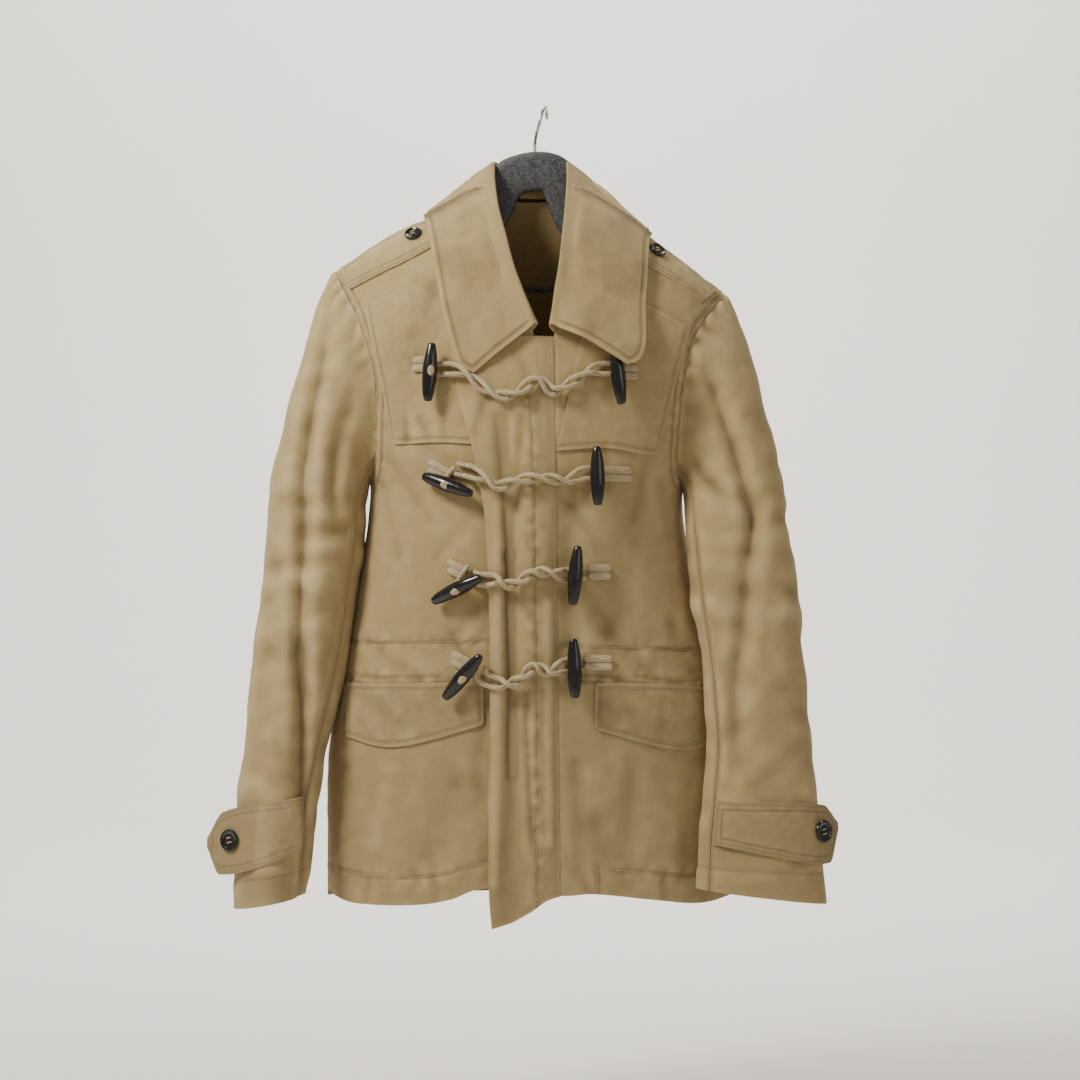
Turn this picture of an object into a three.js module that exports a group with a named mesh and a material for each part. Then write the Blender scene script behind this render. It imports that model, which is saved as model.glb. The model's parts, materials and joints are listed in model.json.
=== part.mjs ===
// Short duffle coat hanging on a black coat hanger. Millimetres, +Z up, the front looks along -Y.
// The origin is the rest point inside the top of the hanger's hook.
// Left and right in names are the wearer's, so right_* pieces have negative x.
import * as THREE from 'three';

// driving sizes
const WALL = 2.4;            // thickness of the body cloth
const SLEEVE_WALL = 2.2;     // thickness of sleeve cloth
const COLLAR_WALL = 2.6;     // two layers of cloth in the collar
const PATCH_WALL = 2.0;      // storm patches, flaps, shoulder straps and cuff tabs
const SEAM = 0.36;           // free gap kept between neighbouring pieces
const SHOULDER_ROUND = 110;  // height over which the cloth turns from the shoulder to the front
const HEM_Z = -826;          // height of the side hem
const BUTTON_SHOULDER = 18.2;
const BUTTON_CUFF = 22.6;
const TOGGLE_LENGTH = 60;
const TOGGLE_WIDTH = 14.6;
const CORD = 5.4;            // diameter of one braided strand
const CORD_TWIST = 3.75;     // distance of each strand from the middle of the twisted pair
const BOARD_HEIGHT = 41;
const BOARD_WIDTH = 10;
const HOOK_WIRE = 3.4;
const BAR_WIRE = 7;

// colours
const CLOTH = [0xa68e66, 0.88, 0];
const CLOTH_SHADE = [0x9c855f, 0.9, 0];
const CREAM = [0xcdb991, 0.85, 0];
const BLACK = [0x121110, 0.28, 0];
const PLASTIC = [0x17171a, 0.4, 0];
const STEEL = [0xb9b9b6, 0.3, 0.9];

const coat = new THREE.Group();
coat.name = 'duffle_coat_on_hanger';

function add(name, geometry, look) {
  const material = new THREE.MeshStandardMaterial({ color: look[0], roughness: look[1], metalness: look[2] });
  const mesh = new THREE.Mesh(geometry, material);
  mesh.name = name;
  coat.add(mesh);
}

// Reading the tables
// The first column of each table is what it is read by. Values between rows follow a smooth curve.
function reader(columns, rows) {
  return (at) => {
    const last = rows.length - 1;
    let i = 0;
    while (i < last - 1 && at > rows[i + 1][0]) i += 1;
    const span = rows[i + 1][0] - rows[i][0];
    const s = Math.min(1, Math.max(0, (at - rows[i][0]) / span));
    const out = {};
    columns.forEach((column, c) => {
      const slope = (k) => {
        const a = Math.max(0, k - 1);
        const b = Math.min(last, k + 1);
        return (rows[b][c] - rows[a][c]) / (rows[b][0] - rows[a][0]);
      };
      const s2 = s * s;
      const s3 = s2 * s;
      out[column] = (2 * s3 - 3 * s2 + 1) * rows[i][c] + (3 * s2 - 2 * s3) * rows[i + 1][c]
        + (s3 - 2 * s2 + s) * span * slope(i) + (s3 - s2) * span * slope(i + 1);
    });
    return out;
  };
}

const smooth = (a, b, x) => {
  const s = Math.min(1, Math.max(0, (x - a) / (b - a)));
  return s * s * (3 - 2 * s);
};
const mix = (a, b, s) => a + (b - a) * s;
const bell = (x, width) => Math.exp(-((x / width) ** 2));

// The body surface
// One row for each height: the side seams, and how far front and back stand from the hanger.
const bodyAt = reader(['z', 'right', 'left', 'front', 'back'], [
  [-840, -227, 196, 107, 42],
  [-760, -227, 197, 106, 42],
  [-700, -226, 197, 105, 42],
  [-650, -223, 194, 105, 41],
  [-610, -217, 186, 105, 40],
  [-560, -208, 174, 105, 39],
  [-500, -196, 157, 104, 38],
  [-440, -185, 145, 103, 37],
  [-400, -182, 143, 101, 36],
  [-380, -186, 146, 100, 36],
  [-340, -196, 156, 96, 35],
  [-290, -208, 172, 90, 34],
  [-230, -232, 200, 83, 33],
  [-180, -246, 222, 77, 31],
  [-100, -256, 232, 66, 27],
  [-40, -256, 232, 60, 24],
]);

// Height of the shoulder line along x.
const shoulderAt = reader(['x', 'z'], [
  [-260, -201],
  [-227, -178],
  [-186, -152],
  [-144, -126],
  [-121, -118],
  [-98, -106],
  [-80, -95],
  [-50, -87],
  [-15, -85],
  [25, -88],
  [50, -98],
  [80, -117],
  [104, -134],
  [142, -162],
  [181, -191],
  [197, -203],
  [240, -234],
]);

const shoulder = (x) => shoulderAt(x).z;

// Across the coat, f runs from -1 at the right side seam to 1 at the left one.
function across(x, z) {
  const row = bodyAt(z);
  const middle = (row.right + row.left) / 2;
  const half = (row.left - row.right) / 2;
  return Math.asin(Math.min(1, Math.max(-1, (x - middle) / half))) * 2 / Math.PI;
}

// Long folds of the fronts: the line x0,z0 to x1,z1, the width and how deep the valley is.
const FRONT_FOLDS = [
  { x0: -113, z0: -200, x1: -150, z1: -345, width: 20, deep: 5 },
  { x0: 113, z0: -190, x1: 110, z1: -255, width: 18, deep: 3 },
  { x0: 24, z0: -400, x1: 22, z1: -560, width: 14, deep: 3.5 },
  { x0: -92, z0: -705, x1: -134, z1: -785, width: 18, deep: 4 },
  { x0: -64, z0: -712, x1: -112, z1: -775, width: 16, deep: 3 },
  { x0: 50, z0: -745, x1: 62, z1: -772, width: 16, deep: 3 },
  { x0: 96, z0: -400, x1: 70, z1: -540, width: 20, deep: 3 },
  { x0: -130, z0: -450, x1: -105, z1: -560, width: 22, deep: 3 },
];

function frontFolds(x, z) {
  let sum = 0;
  for (const fold of FRONT_FOLDS) {
    const dx = fold.x1 - fold.x0;
    const dz = fold.z1 - fold.z0;
    const s = ((x - fold.x0) * dx + (z - fold.z0) * dz) / (dx * dx + dz * dz);
    const away = Math.hypot(x - fold.x0 - dx * Math.min(1, Math.max(0, s)),
      z - fold.z0 - dz * Math.min(1, Math.max(0, s)));
    sum += fold.deep * bell(away, fold.width);
  }
  return sum;
}

// The middle of the body cloth. side is -1 for the front and 1 for the back.
function body(f, z, side) {
  const row = bodyAt(z);
  const turn = f * Math.PI / 2;
  const x = (row.right + row.left) / 2 + (row.left - row.right) / 2 * Math.sin(turn);
  const height = Math.min(z, shoulder(x) - 0.0012);
  const drop = Math.min(1, (shoulder(x) - height) / SHOULDER_ROUND);
  const round = Math.sqrt(1 - (1 - drop) ** 2);
  const depth = side < 0 ? row.front - frontFolds(x, height) : row.back;
  return new THREE.Vector3(x, side * depth * Math.cos(turn) * round, height);
}

// Outward direction of a surface that is given as a function of two numbers.
function outward(surface, a, b, step, flip) {
  const da = surface(a + step, b).sub(surface(a - step, b));
  const db = surface(a, b + step).sub(surface(a, b - step));
  return da.cross(db).normalize().multiplyScalar(flip);
}

// Outward direction of the body cloth. The step in height gets small near the shoulder line.
function bodyNormal(f, z, side) {
  const below = Math.max(0.004, shoulder(body(f, z, side).x) - z);
  const step = Math.min(0.6, below * 0.4);
  const reach = 0.004;
  const round = body(f + reach, z, side).sub(body(f - reach, z, side));
  const up = body(f, z + step, side).sub(body(f, z - step, side));
  return round.cross(up).normalize().multiplyScalar(-side);
}

// The flat facets of the finished panels, so that what is laid on them starts from their own points.
const skins = { front: [], back: [] };

function keepSkin(side, point, nu, nv) {
  const spots = [];
  for (let j = 0; j <= nv; j += 1) {
    for (let i = 0; i <= nu; i += 1) {
      const p = point(i / nu, j / nv);
      const low = Math.min(p.z, shoulder(p.x) - 0.05);
      spots.push({ p, n: bodyNormal(across(p.x, low), low, side) });
    }
  }
  const list = side < 0 ? skins.front : skins.back;
  for (let j = 0; j < nv; j += 1) {
    for (let i = 0; i < nu; i += 1) {
      const a = spots[j * (nu + 1) + i];
      const b = spots[j * (nu + 1) + i + 1];
      const c = spots[(j + 1) * (nu + 1) + i + 1];
      const d = spots[(j + 1) * (nu + 1) + i];
      list.push([a, b, c], [a, c, d]);
    }
  }
}

// The facet of a panel at x and z, or nothing where no panel lies.
function onSkin(x, z, side) {
  for (const [a, b, c] of side < 0 ? skins.front : skins.back) {
    const area = (b.p.x - a.p.x) * (c.p.z - a.p.z) - (c.p.x - a.p.x) * (b.p.z - a.p.z);
    if (Math.abs(area) < 1e-9) continue;
    const s = ((x - a.p.x) * (c.p.z - a.p.z) - (c.p.x - a.p.x) * (z - a.p.z)) / area;
    const t = ((b.p.x - a.p.x) * (z - a.p.z) - (x - a.p.x) * (b.p.z - a.p.z)) / area;
    if (s < -1e-7 || t < -1e-7 || s + t > 1 + 1e-7) continue;
    const r = 1 - s - t;
    const p = a.p.clone().multiplyScalar(r).addScaledVector(b.p, s).addScaledVector(c.p, t);
    const n = a.n.clone().multiplyScalar(r).addScaledVector(b.n, s).addScaledVector(c.n, t).normalize();
    return { p, n };
  }
  return null;
}

// A point that lies the given distance outside the middle of the body cloth.
function over(x, z, side, distance) {
  const low = Math.min(z, shoulder(x) - 0.01);
  const spot = onSkin(x, low, side);
  if (spot) return spot.p.addScaledVector(spot.n, distance);
  const f = across(x, low);
  return body(f, low, side).addScaledVector(bodyNormal(f, low, side), distance);
}

// Cloth walls
// Closes a grid of middle points into a wall. flip is 1 or -1 and turns the outer face outward.
function wall(point, nu, nv, thick, flip) {
  const columns = nu + 1;
  const positions = [];
  const index = [];
  const place = (side) => {
    for (let j = 0; j <= nv; j += 1) {
      for (let i = 0; i < columns; i += 1) {
        const n = outward(point, i / nu, j / nv, 0.002, flip);
        const p = point(i / nu, j / nv).addScaledVector(n, side * thick / 2);
        positions.push(p.x, p.y, p.z);
      }
    }
  };
  place(1);
  place(-1);
  const count = columns * (nv + 1);
  const id = (i, j, layer) => layer * count + j * columns + i;
  const quad = (a, b, c, d) => {
    if (flip > 0) {
      index.push(a, b, c, a, c, d);
    } else {
      index.push(a, c, b, a, d, c);
    }
  };
  for (let j = 0; j < nv; j += 1) {
    for (let i = 0; i < nu; i += 1) {
      quad(id(i, j, 0), id(i + 1, j, 0), id(i + 1, j + 1, 0), id(i, j + 1, 0));
      quad(id(i, j, 1), id(i, j + 1, 1), id(i + 1, j + 1, 1), id(i + 1, j, 1));
    }
  }
  for (let i = 0; i < nu; i += 1) {
    quad(id(i, 0, 1), id(i + 1, 0, 1), id(i + 1, 0, 0), id(i, 0, 0));
    quad(id(i, nv, 0), id(i + 1, nv, 0), id(i + 1, nv, 1), id(i, nv, 1));
  }
  for (let j = 0; j < nv; j += 1) {
    quad(id(0, j, 0), id(0, j + 1, 0), id(0, j + 1, 1), id(0, j, 1));
    quad(id(nu, j, 1), id(nu, j + 1, 1), id(nu, j + 1, 0), id(nu, j, 0));
  }
  const geometry = new THREE.BufferGeometry();
  geometry.setAttribute('position', new THREE.Float32BufferAttribute(positions, 3));
  geometry.setIndex(index);
  geometry.computeVertexNormals();
  return geometry;
}

// Blends four edge curves, each a function giving [f, z], into one panel.
function panel(low, high, start, end, u, v) {
  const b = low(u);
  const t = high(u);
  const l = start(v);
  const r = end(v);
  const c = [low(0), low(1), high(0), high(1)];
  return [0, 1].map((k) => (1 - v) * b[k] + v * t[k] + (1 - u) * l[k] + u * r[k]
    - (1 - u) * (1 - v) * c[0][k] - u * (1 - v) * c[1][k] - (1 - u) * v * c[2][k] - u * v * c[3][k]);
}

// Armholes
// Turn is 0 at the underarm and 180 on the shoulder. The columns say where the seam lies across.
const ARMHOLE = {
  right: {
    sign: -1,
    low: -394,
    high: -177,
    front: reader(['turn', 'f'], [
      [0, 1], [15, 0.91], [30, 0.822], [45, 0.745], [60, 0.695],
      [90, 0.618], [120, 0.606], [150, 0.66], [180, 0.7],
    ]),
    back: reader(['turn', 'f'], [
      [0, 1], [30, 0.85], [60, 0.75], [90, 0.69], [120, 0.665], [150, 0.68], [180, 0.7],
    ]),
  },
  left: {
    sign: 1,
    low: -398,
    high: -203,
    front: reader(['turn', 'f'], [
      [0, 1], [15, 0.915], [30, 0.828], [45, 0.77], [60, 0.733],
      [90, 0.66], [120, 0.606], [150, 0.655], [180, 0.71],
    ]),
    back: reader(['turn', 'f'], [
      [0, 1], [30, 0.86], [60, 0.77], [90, 0.7], [120, 0.66], [150, 0.68], [180, 0.71],
    ]),
  },
};

// Place of the armhole seam on the front (-1) or back (1), as [f, z].
function armhole(hole, turn, side) {
  const table = side < 0 ? hole.front : hole.back;
  const z = mix(hole.high, hole.low, (1 + Math.cos(turn * Math.PI / 180)) / 2);
  return [hole.sign * table(turn).f, z];
}

// Fronts and back
const UNDERARM = 0.58;       // share of a panel's rows that lies below the armhole
const SIDE_GAP = 0.0012;     // share of the half width that stays free at a side seam
const ARMHOLE_GAP = 0.00024; // the same at the armhole
const TOP_SHARE = 0.9993;    // a wall ends just below the shoulder line, where it has no direction

// Side seam and armhole of one panel, from the hem to the shoulder point.
function sideEdge(hole, side, hem) {
  return (v) => {
    if (v <= UNDERARM) {
      return [hole.sign * (1 - SIDE_GAP), mix(hem, hole.low, v / UNDERARM)];
    }
    const turn = 180 * (v - UNDERARM) / (1 - UNDERARM);
    const [f, z] = armhole(hole, turn, side);
    return [f - hole.sign * ARMHOLE_GAP, z];
  };
}

// Neckline on each side, read by t from 0 at the centre front to 1 at the shoulder.
const neckRight = reader(['t', 'x', 'z'], [
  [0, -12, -240], [0.25, -38, -213], [0.5, -60, -178],
  [0.75, -75, -136], [0.92, -80, -103], [1, -81, -95.6],
]);
const neckLeft = reader(['t', 'x', 'z'], [
  [0, 9, -243], [0.25, 27, -213], [0.5, 40, -180],
  [0.75, 49, -140], [0.92, 51, -106], [1, 51, -98.6],
]);

// Hem of the fronts by x.
const hemAt = reader(['x', 'z'], [
  [-228, -818], [-207, -826], [-185, -828], [-127, -825], [-96, -819], [-68, -808], [-20, -806],
  [16, -814], [49, -813], [106, -820], [159, -827], [197, -822],
]);

// Front edge of a front: straight from the hem to the neck point, then along the neckline.
function frontEdge(neck, bottomX, bottomZ) {
  const chest = -392;
  const start = neck(0);
  const straight = (z) => [across(mix(bottomX, start.x, (z - bottomZ) / (start.z - bottomZ)), z), z];
  return (v) => {
    if (v <= UNDERARM) {
      return straight(mix(bottomZ, chest, v / UNDERARM));
    }
    const w = (v - UNDERARM) / (1 - UNDERARM);
    if (w < 0.5) {
      return straight(mix(chest, start.z, w * 2));
    }
    const place = neck(Math.sin((w - 0.5) * Math.PI));
    return [across(place.x, place.z), place.z];
  };
}

function shoulderEdge(fromX, toX) {
  return (u) => {
    const x = mix(fromX, toX, u);
    const z = shoulder(x) - 0.002;
    return [across(x, z), z];
  };
}

// Builds a front between its two side edges, the hem and the shoulder line.
function makePanel(name, side, start, end, hem, nu, nv) {
  const corner = (curve, v) => {
    const p = curve(v);
    return body(p[0], p[1], side).x;
  };
  const low = (u) => {
    const f = mix(start(0)[0], end(0)[0], u);
    return [f, hem(body(f, HEM_Z, side).x)];
  };
  const high = shoulderEdge(corner(start, 1), corner(end, 1));
  const point = (u, v) => {
    const p = panel(low, high, start, end, u, v * TOP_SHARE);
    return body(p[0], p[1], side);
  };
  keepSkin(side, point, nu, nv);
  add(name, wall(point, nu, nv, WALL, 1), CLOTH);
}

const hemFront = (x) => hemAt(x).z;
const rightSide = sideEdge(ARMHOLE.right, -1, hemFront(-228));
const leftSide = sideEdge(ARMHOLE.left, -1, hemFront(197));
const EDGE_X = -4;           // front edge of the right front at the hem
const SEAM_X = 16;           // front edge of the left front at the hem
const rightEdge = frontEdge(neckRight, EDGE_X, hemFront(EDGE_X));
const leftEdge = frontEdge(neckLeft, SEAM_X, hemFront(SEAM_X));
makePanel('front_right', -1, rightSide, rightEdge, hemFront, 11, 21);
makePanel('front_left', -1, leftEdge, leftSide, hemFront, 11, 21);

// The back neckline dips a little below the shoulder line between the two neck points.
const BACK_NECK_DIP = 13;
const neckFrom = neckRight(1).x;
const neckTo = neckLeft(1).x;
function makeBack() {
  const start = sideEdge(ARMHOLE.right, 1, HEM_Z);
  const end = sideEdge(ARMHOLE.left, 1, HEM_Z);
  const point = (u, rise) => {
    const v = rise * TOP_SHARE;
    const a = start(v);
    const b = end(v);
    const f = mix(a[0], b[0], u);
    const t = v <= UNDERARM ? 0 : (v - UNDERARM) / (1 - UNDERARM);
    const flat = mix(a[1], b[1], u);
    const x = body(f, flat, 1).x;
    const share = Math.min(1, Math.max(0, (x - neckFrom) / (neckTo - neckFrom)));
    const top = shoulder(x) - 0.002 - BACK_NECK_DIP * Math.sin(Math.PI * share);
    const ends = mix(shoulder(body(a[0], a[1], 1).x), shoulder(body(b[0], b[1], 1).x), u);
    const z = flat + (top - ends) * t * t * (3 - 2 * t);
    return body(f, z, 1);
  };
  keepSkin(1, point, 16, 18);
  add('back', wall(point, 16, 18, WALL, -1), CLOTH_SHADE);
}
makeBack();

// The lap over the front edge
// Free edge of the lap and the line of its sewn seam by height.
const placketAt = reader(['z', 'edge', 'seam'], [
  [-850, -53, 17],
  [-810, -56, 17],
  [-676, -55, 15],
  [-555, -55, 13],
  [-476, -57, 11.5],
  [-421, -61, 9],
  [-358, -73, 7.5],
  [-312, -86, 8],
  [-270, -93, 8],
  [-236, -97, 8],
]);
const PLACKET_TOP = -246;
const LAP_LOW = 3.4;         // height of the lap's middle where it lies close
// Height of the lap's lower edge, from its free edge to its seam.
const placketHemAt = reader(['u', 'z'], [
  [0, -847], [0.28, -841], [0.55, -831], [0.8, -819], [1, -814.5],
]);
// How far the lap stands off the cloth below it, from its free edge to its seam.
const lapAt = reader(['u', 'off'], [
  [0, 9.5], [0.12, 8.8], [0.34, 4.4], [0.55, 5.4], [0.7, 4.6], [0.83, LAP_LOW], [1, 0],
]);

// Under the collar the lap lies close to the cloth below it.
function lapOff(u, z) {
  const off = lapAt(u).off;
  return off > LAP_LOW ? mix(LAP_LOW, off, smooth(-288, -345, z)) : off;
}

// The same at x, and nothing beside the lap.
function lapOffset(x, z) {
  const row = placketAt(z);
  const u = (x - row.edge) / (row.seam - row.edge);
  return u < -0.02 || u > 1 ? 0 : lapOff(Math.max(0, u), z);
}

// The lap is sewn to the front edge of the left front, so it ends just before that line.
const sewnX = (z) => mix(SEAM_X, neckLeft(0).x, (z - hemFront(SEAM_X)) / (neckLeft(0).z - hemFront(SEAM_X)));
const LAP_GAP = 0.9;
add('front_placket', wall((u, v) => {
  const z = mix(placketHemAt(u).z, PLACKET_TOP, v);
  const share = Math.min(1, Math.max(0, u));
  return over(mix(placketAt(z).edge, sewnX(z) - LAP_GAP, u), z, -1, lapOff(share, z));
}, 8, 20, WALL, 1), CLOTH);

// Pieces that lie on the fronts
const LIFT = 0.75;           // room for the facets of the cloth below
const LAID = WALL / 2 + SEAM + LIFT + PATCH_WALL / 2;

// A flat piece between a lower and an upper edge, both tables read by u.
function laid(name, lower, upper, nu, nv, distance, thick, look) {
  add(name, wall((u, v) => {
    const a = lower(u);
    const b = upper(u);
    return over(mix(a.x, b.x, v), mix(a.z, b.z, v), -1, distance);
  }, nu, nv, thick, 1), look);
}

laid('storm_patch_right',
  reader(['u', 'x', 'z'], [[0, -156, -349], [0.06, -152, -355], [0.5, -115, -354], [1, -78, -356]]),
  reader(['u', 'x', 'z'], [[0, -184, -215], [0.06, -181, -212], [0.5, -148, -198], [1, -115, -184]]),
  9, 12, LAID, PATCH_WALL, CLOTH);
laid('storm_patch_left',
  reader(['u', 'x', 'z'], [[0, 11, -363], [0.5, 62, -360], [0.94, 108, -366], [1, 114, -360]]),
  reader(['u', 'x', 'z'], [[0, 46, -206], [0.5, 98, -211], [0.94, 145, -234], [1, 148, -237]]),
  10, 12, LAID, PATCH_WALL, CLOTH);
laid('pocket_flap_right',
  reader(['u', 'x', 'z'], [[0, -204, -657], [0.46, -152, -665], [0.94, -66, -642], [1, -62, -638]]),
  reader(['u', 'x', 'z'], [[0, -203, -601.5], [0.46, -151, -600], [0.94, -66, -598.5], [1, -62, -599.5]]),
  16, 4, LAID, PATCH_WALL, CLOTH_SHADE);
laid('pocket_flap_left',
  reader(['u', 'x', 'z'], [[0, 50, -643], [0.06, 55, -647], [0.62, 137, -669], [1, 176, -662]]),
  reader(['u', 'x', 'z'], [[0, 50, -599.5], [0.06, 54, -598.5], [0.62, 134, -602], [1, 174, -607.5]]),
  14, 4, LAID, PATCH_WALL, CLOTH_SHADE);

// Shoulder straps lie on the front of each shoulder, from the sleeve to under the collar.
laid('shoulder_strap_right',
  reader(['u', 'x', 'z'], [[0, -202, -194], [0.5, -160, -174], [1, -112, -150]]),
  reader(['u', 'x', 'z'], [[0, -213, -171.5], [0.5, -162, -138.5], [1, -113, -117]]),
  8, 7, LAID, PATCH_WALL, CLOTH);
laid('shoulder_strap_left',
  reader(['u', 'x', 'z'], [[0, 92, -164], [0.5, 126, -183], [1, 160, -208]]),
  reader(['u', 'x', 'z'], [[0, 92, -128], [0.5, 138, -161.5], [1, 178, -193.5]]),
  8, 7, LAID, PATCH_WALL, CLOTH);

// The collar
// Each row is one cut through the collar, from the right front end round the back to the left one.
// Neck and edge lie over the body cloth at x and z, off is how far the edge stands from it, and
// lift is the bulge between the roll and the edge.
const collarAt = reader(['s', 'neckX', 'neckZ', 'rollX', 'rollY', 'rollZ', 'edgeX', 'edgeZ', 'lift', 'off'], [
  [0, -12, -240, -10.5, -97, -233, -72, -284, 2, 6.8],
  [1, -26, -226, -16, -94, -218, -88, -273, 3, 6.8],
  [2, -41, -209, -23, -89, -200, -97, -243, 4, 6.8],
  [3, -58, -182, -33, -81, -172, -105, -208, 5, 6.8],
  [4, -71, -149, -41, -69, -141, -112, -172, 6, 6.8],
  [5, -79, -115, -50, -46, -104, -118, -141, 7, 6.8],
  [6, -81, -96, -54, -8, -62, -122, -119, 8, 6.8],
  [7, -64, -94.5, -47, 18, -57, -98, -140, 8, 7.5],
  [8, -15, -96.5, -15, 27, -56, -12, -158, 7, 7.5],
  [9, 36, -96, 17, 18, -57, 80, -152, 8, 7.5],
  [10, 51, -99, 24, -8, -61, 104, -134.5, 8, 6.8],
  [11, 51, -118, 22, -46, -104, 104, -153, 7, 6.8],
  [12, 46, -150, 18.5, -69, -141, 102, -184, 6, 6.8],
  [13, 39, -182, 15, -81, -172, 99, -216, 6, 9],
  [14, 29, -209, 10.5, -89, -200, 96, -245, 8, 19],
  [15, 18, -230, 9, -94, -218, 88, -270, 9, 29],
  [16, 9, -243, 7.5, -97, -234, 76, -277, 8, 31],
]);
const COLLAR_OFF = 6.8;      // least height of the collar's middle above the middle of the body cloth
const COLLAR_BACK = 4;       // what is added to it across the back
const COLLAR_CUTS = 16;

// Moves a point out until it is the given distance from the body cloth.
function clear(point, side, distance) {
  if (point.z > shoulder(point.x) + distance) {
    return point;
  }
  const z = Math.min(point.z, shoulder(point.x) - 0.3);
  const base = over(point.x, z, side, 0);
  const out = over(point.x, z, side, 1).sub(base);
  const gap = point.clone().sub(base).dot(out);
  return gap < distance ? point.addScaledVector(out, distance - gap) : point;
}

function collarCut(s) {
  const row = collarAt(s);
  const front = Math.min(1, smooth(6.9, 6.3, s) + smooth(9.1, 9.7, s));
  const pick = (x, z, distance) => over(x, z, -1, distance).lerp(over(x, z, 1, distance), 1 - front);
  const neck = pick(row.neckX, row.neckZ, 0);
  const roll = new THREE.Vector3(row.rollX, row.rollY, row.rollZ);
  const edge = pick(row.edgeX, row.edgeZ, row.off);
  neck.lerp(roll, Math.min(0.5, 3 / neck.distanceTo(roll)));
  const side = front > 0.5 ? -1 : 1;
  const out = edge.clone().sub(neck).normalize();
  const up = roll.clone().sub(neck).normalize();
  const fold = Math.min(4.5, neck.distanceTo(roll) * 0.3);
  const near = roll.clone().addScaledVector(out, -fold * 0.9).addScaledVector(up, -fold * 1.2);
  const far = roll.clone().addScaledVector(out, fold * 1.6).addScaledVector(up, -fold * 0.2);
  const bulge = up.clone().multiplyScalar(row.lift);
  const middle = clear(far.clone().lerp(edge, 0.4).addScaledVector(bulge, 0.8), side, COLLAR_OFF);
  const lower = clear(far.clone().lerp(edge, 0.75).addScaledVector(bulge, 0.4), side, COLLAR_OFF);
  return new THREE.CatmullRomCurve3([neck, near, roll, far, middle, lower, edge], false, 'centripetal');
}

const collarCuts = new Map();
function collar(u, v) {
  const key = u.toFixed(5);
  const s = u * COLLAR_CUTS;
  if (!collarCuts.has(key)) {
    collarCuts.set(key, collarCut(Math.min(COLLAR_CUTS, Math.max(0, s))));
  }
  const point = collarCuts.get(key).getPoint(Math.min(1, Math.max(0, v)));
  if (v < 0.4) {
    return point;
  }
  const back = s > 6.6 && s < 9.4;
  const off = back ? COLLAR_OFF + COLLAR_BACK : COLLAR_OFF;
  return clear(point, back ? 1 : -1, off * smooth(0.38, 0.6, v));
}

// Past its edges the collar goes on straight, so that its outermost points have a direction.
add('collar', wall((u, v) => {
  const step = 0.0025;
  const a = Math.min(1 - step, Math.max(step, u));
  const b = Math.min(1 - step, Math.max(step, v));
  const p = collar(a, b);
  p.addScaledVector(collar(a + step, b).sub(collar(a - step, b)), (u - a) / (2 * step));
  p.addScaledVector(collar(a, b + step).sub(collar(a, b - step)), (v - b) / (2 * step));
  return p;
}, 36, 11, COLLAR_WALL, -1), CLOTH);

// Sleeves
const SLEEVE_END = 13;       // t at the cuff; it is 0 at the armhole
// Each row is one turn round the sleeve: its outer and inner edge, its middle depth and half depth.
const SLEEVE = {
  right: reader(['t', 'outX', 'outZ', 'inX', 'inZ', 'y', 'half'], [
    [0, -234, -191, -183, -394, -6, 42],
    [1, -247, -223, -184, -397, -7, 46],
    [2, -258, -265, -185, -402, -8, 50],
    [3, -267, -307, -186, -409, -10, 52],
    [4, -276, -349, -188, -419, -12, 53],
    [5, -284, -396, -191, -438, -15, 53],
    [6, -290, -448, -195, -467, -18, 52],
    [7, -296, -506, -203.5, -512, -22, 51],
    [8, -301, -563, -214, -566, -27, 50],
    [9, -306.5, -609, -222, -609, -32, 50],
    [10, -312, -668, -231, -667, -39, 50],
    [11, -317, -722, -235, -717, -45, 50],
    [12, -320, -775, -240, -768, -49, 50],
    [13, -320, -832, -248, -818, -52, 50],
  ]),
  left: reader(['t', 'outX', 'outZ', 'inX', 'inZ', 'y', 'half'], [
    [0, 197, -206, 146, -398, -8, 40],
    [1, 207.5, -226, 146, -400, -11, 40],
    [2, 218, -266, 146, -404, -16, 38],
    [3, 228, -308, 145.5, -411, -22, 37],
    [4, 237, -350, 145, -421, -28, 36],
    [5, 246, -396, 145.5, -441, -35, 34],
    [6, 251.5, -443, 148, -471, -42, 32],
    [7, 260, -505, 152.5, -516, -50, 30],
    [8, 264.5, -562, 159.5, -565, -58, 29],
    [9, 268, -608, 164, -608, -64, 28],
    [10, 273, -666, 167, -666, -70, 27],
    [11, 277, -720, 162, -718, -75, 26],
    [12, 281.5, -767, 157, -765, -77, 25],
    [13, 287, -825, 155, -809, -80, 24],
  ]),
};

// Long folds of the sleeves: how the valley's turn runs with t, its width in degrees and depth.
const SLEEVE_FOLDS = {
  right: [
    {
      turnAt: reader(['t', 'turn'], [[1, 150], [3, 122], [5, 108], [8, 88], [10, 60], [12.5, 22]]),
      width: 15, deep: 9, from: 0.8, to: SLEEVE_END,
    },
    { turnAt: reader(['t', 'turn'], [[1, 95], [3, 78], [6, 60]]), width: 14, deep: 4, from: 0.8, to: 6 },
    {
      turnAt: reader(['t', 'turn'], [[6, 140], [10, 128], [13, 118]]),
      width: 18, deep: 3, from: 5.5, to: SLEEVE_END,
    },
  ],
  left: [
    { turnAt: reader(['t', 'turn'], [[1, 112], [3, 99], [6, 110]]), width: 13, deep: 6, from: 0.8, to: 6.5 },
    { turnAt: reader(['t', 'turn'], [[2, 50], [3.5, 58], [5, 86]]), width: 13, deep: 5, from: 1.5, to: 5.2 },
    {
      turnAt: reader(['t', 'turn'], [[5, 118], [7, 88], [9, 62], [11, 56]]),
      width: 15, deep: 5, from: 4.6, to: 11,
    },
  ],
};

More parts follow.
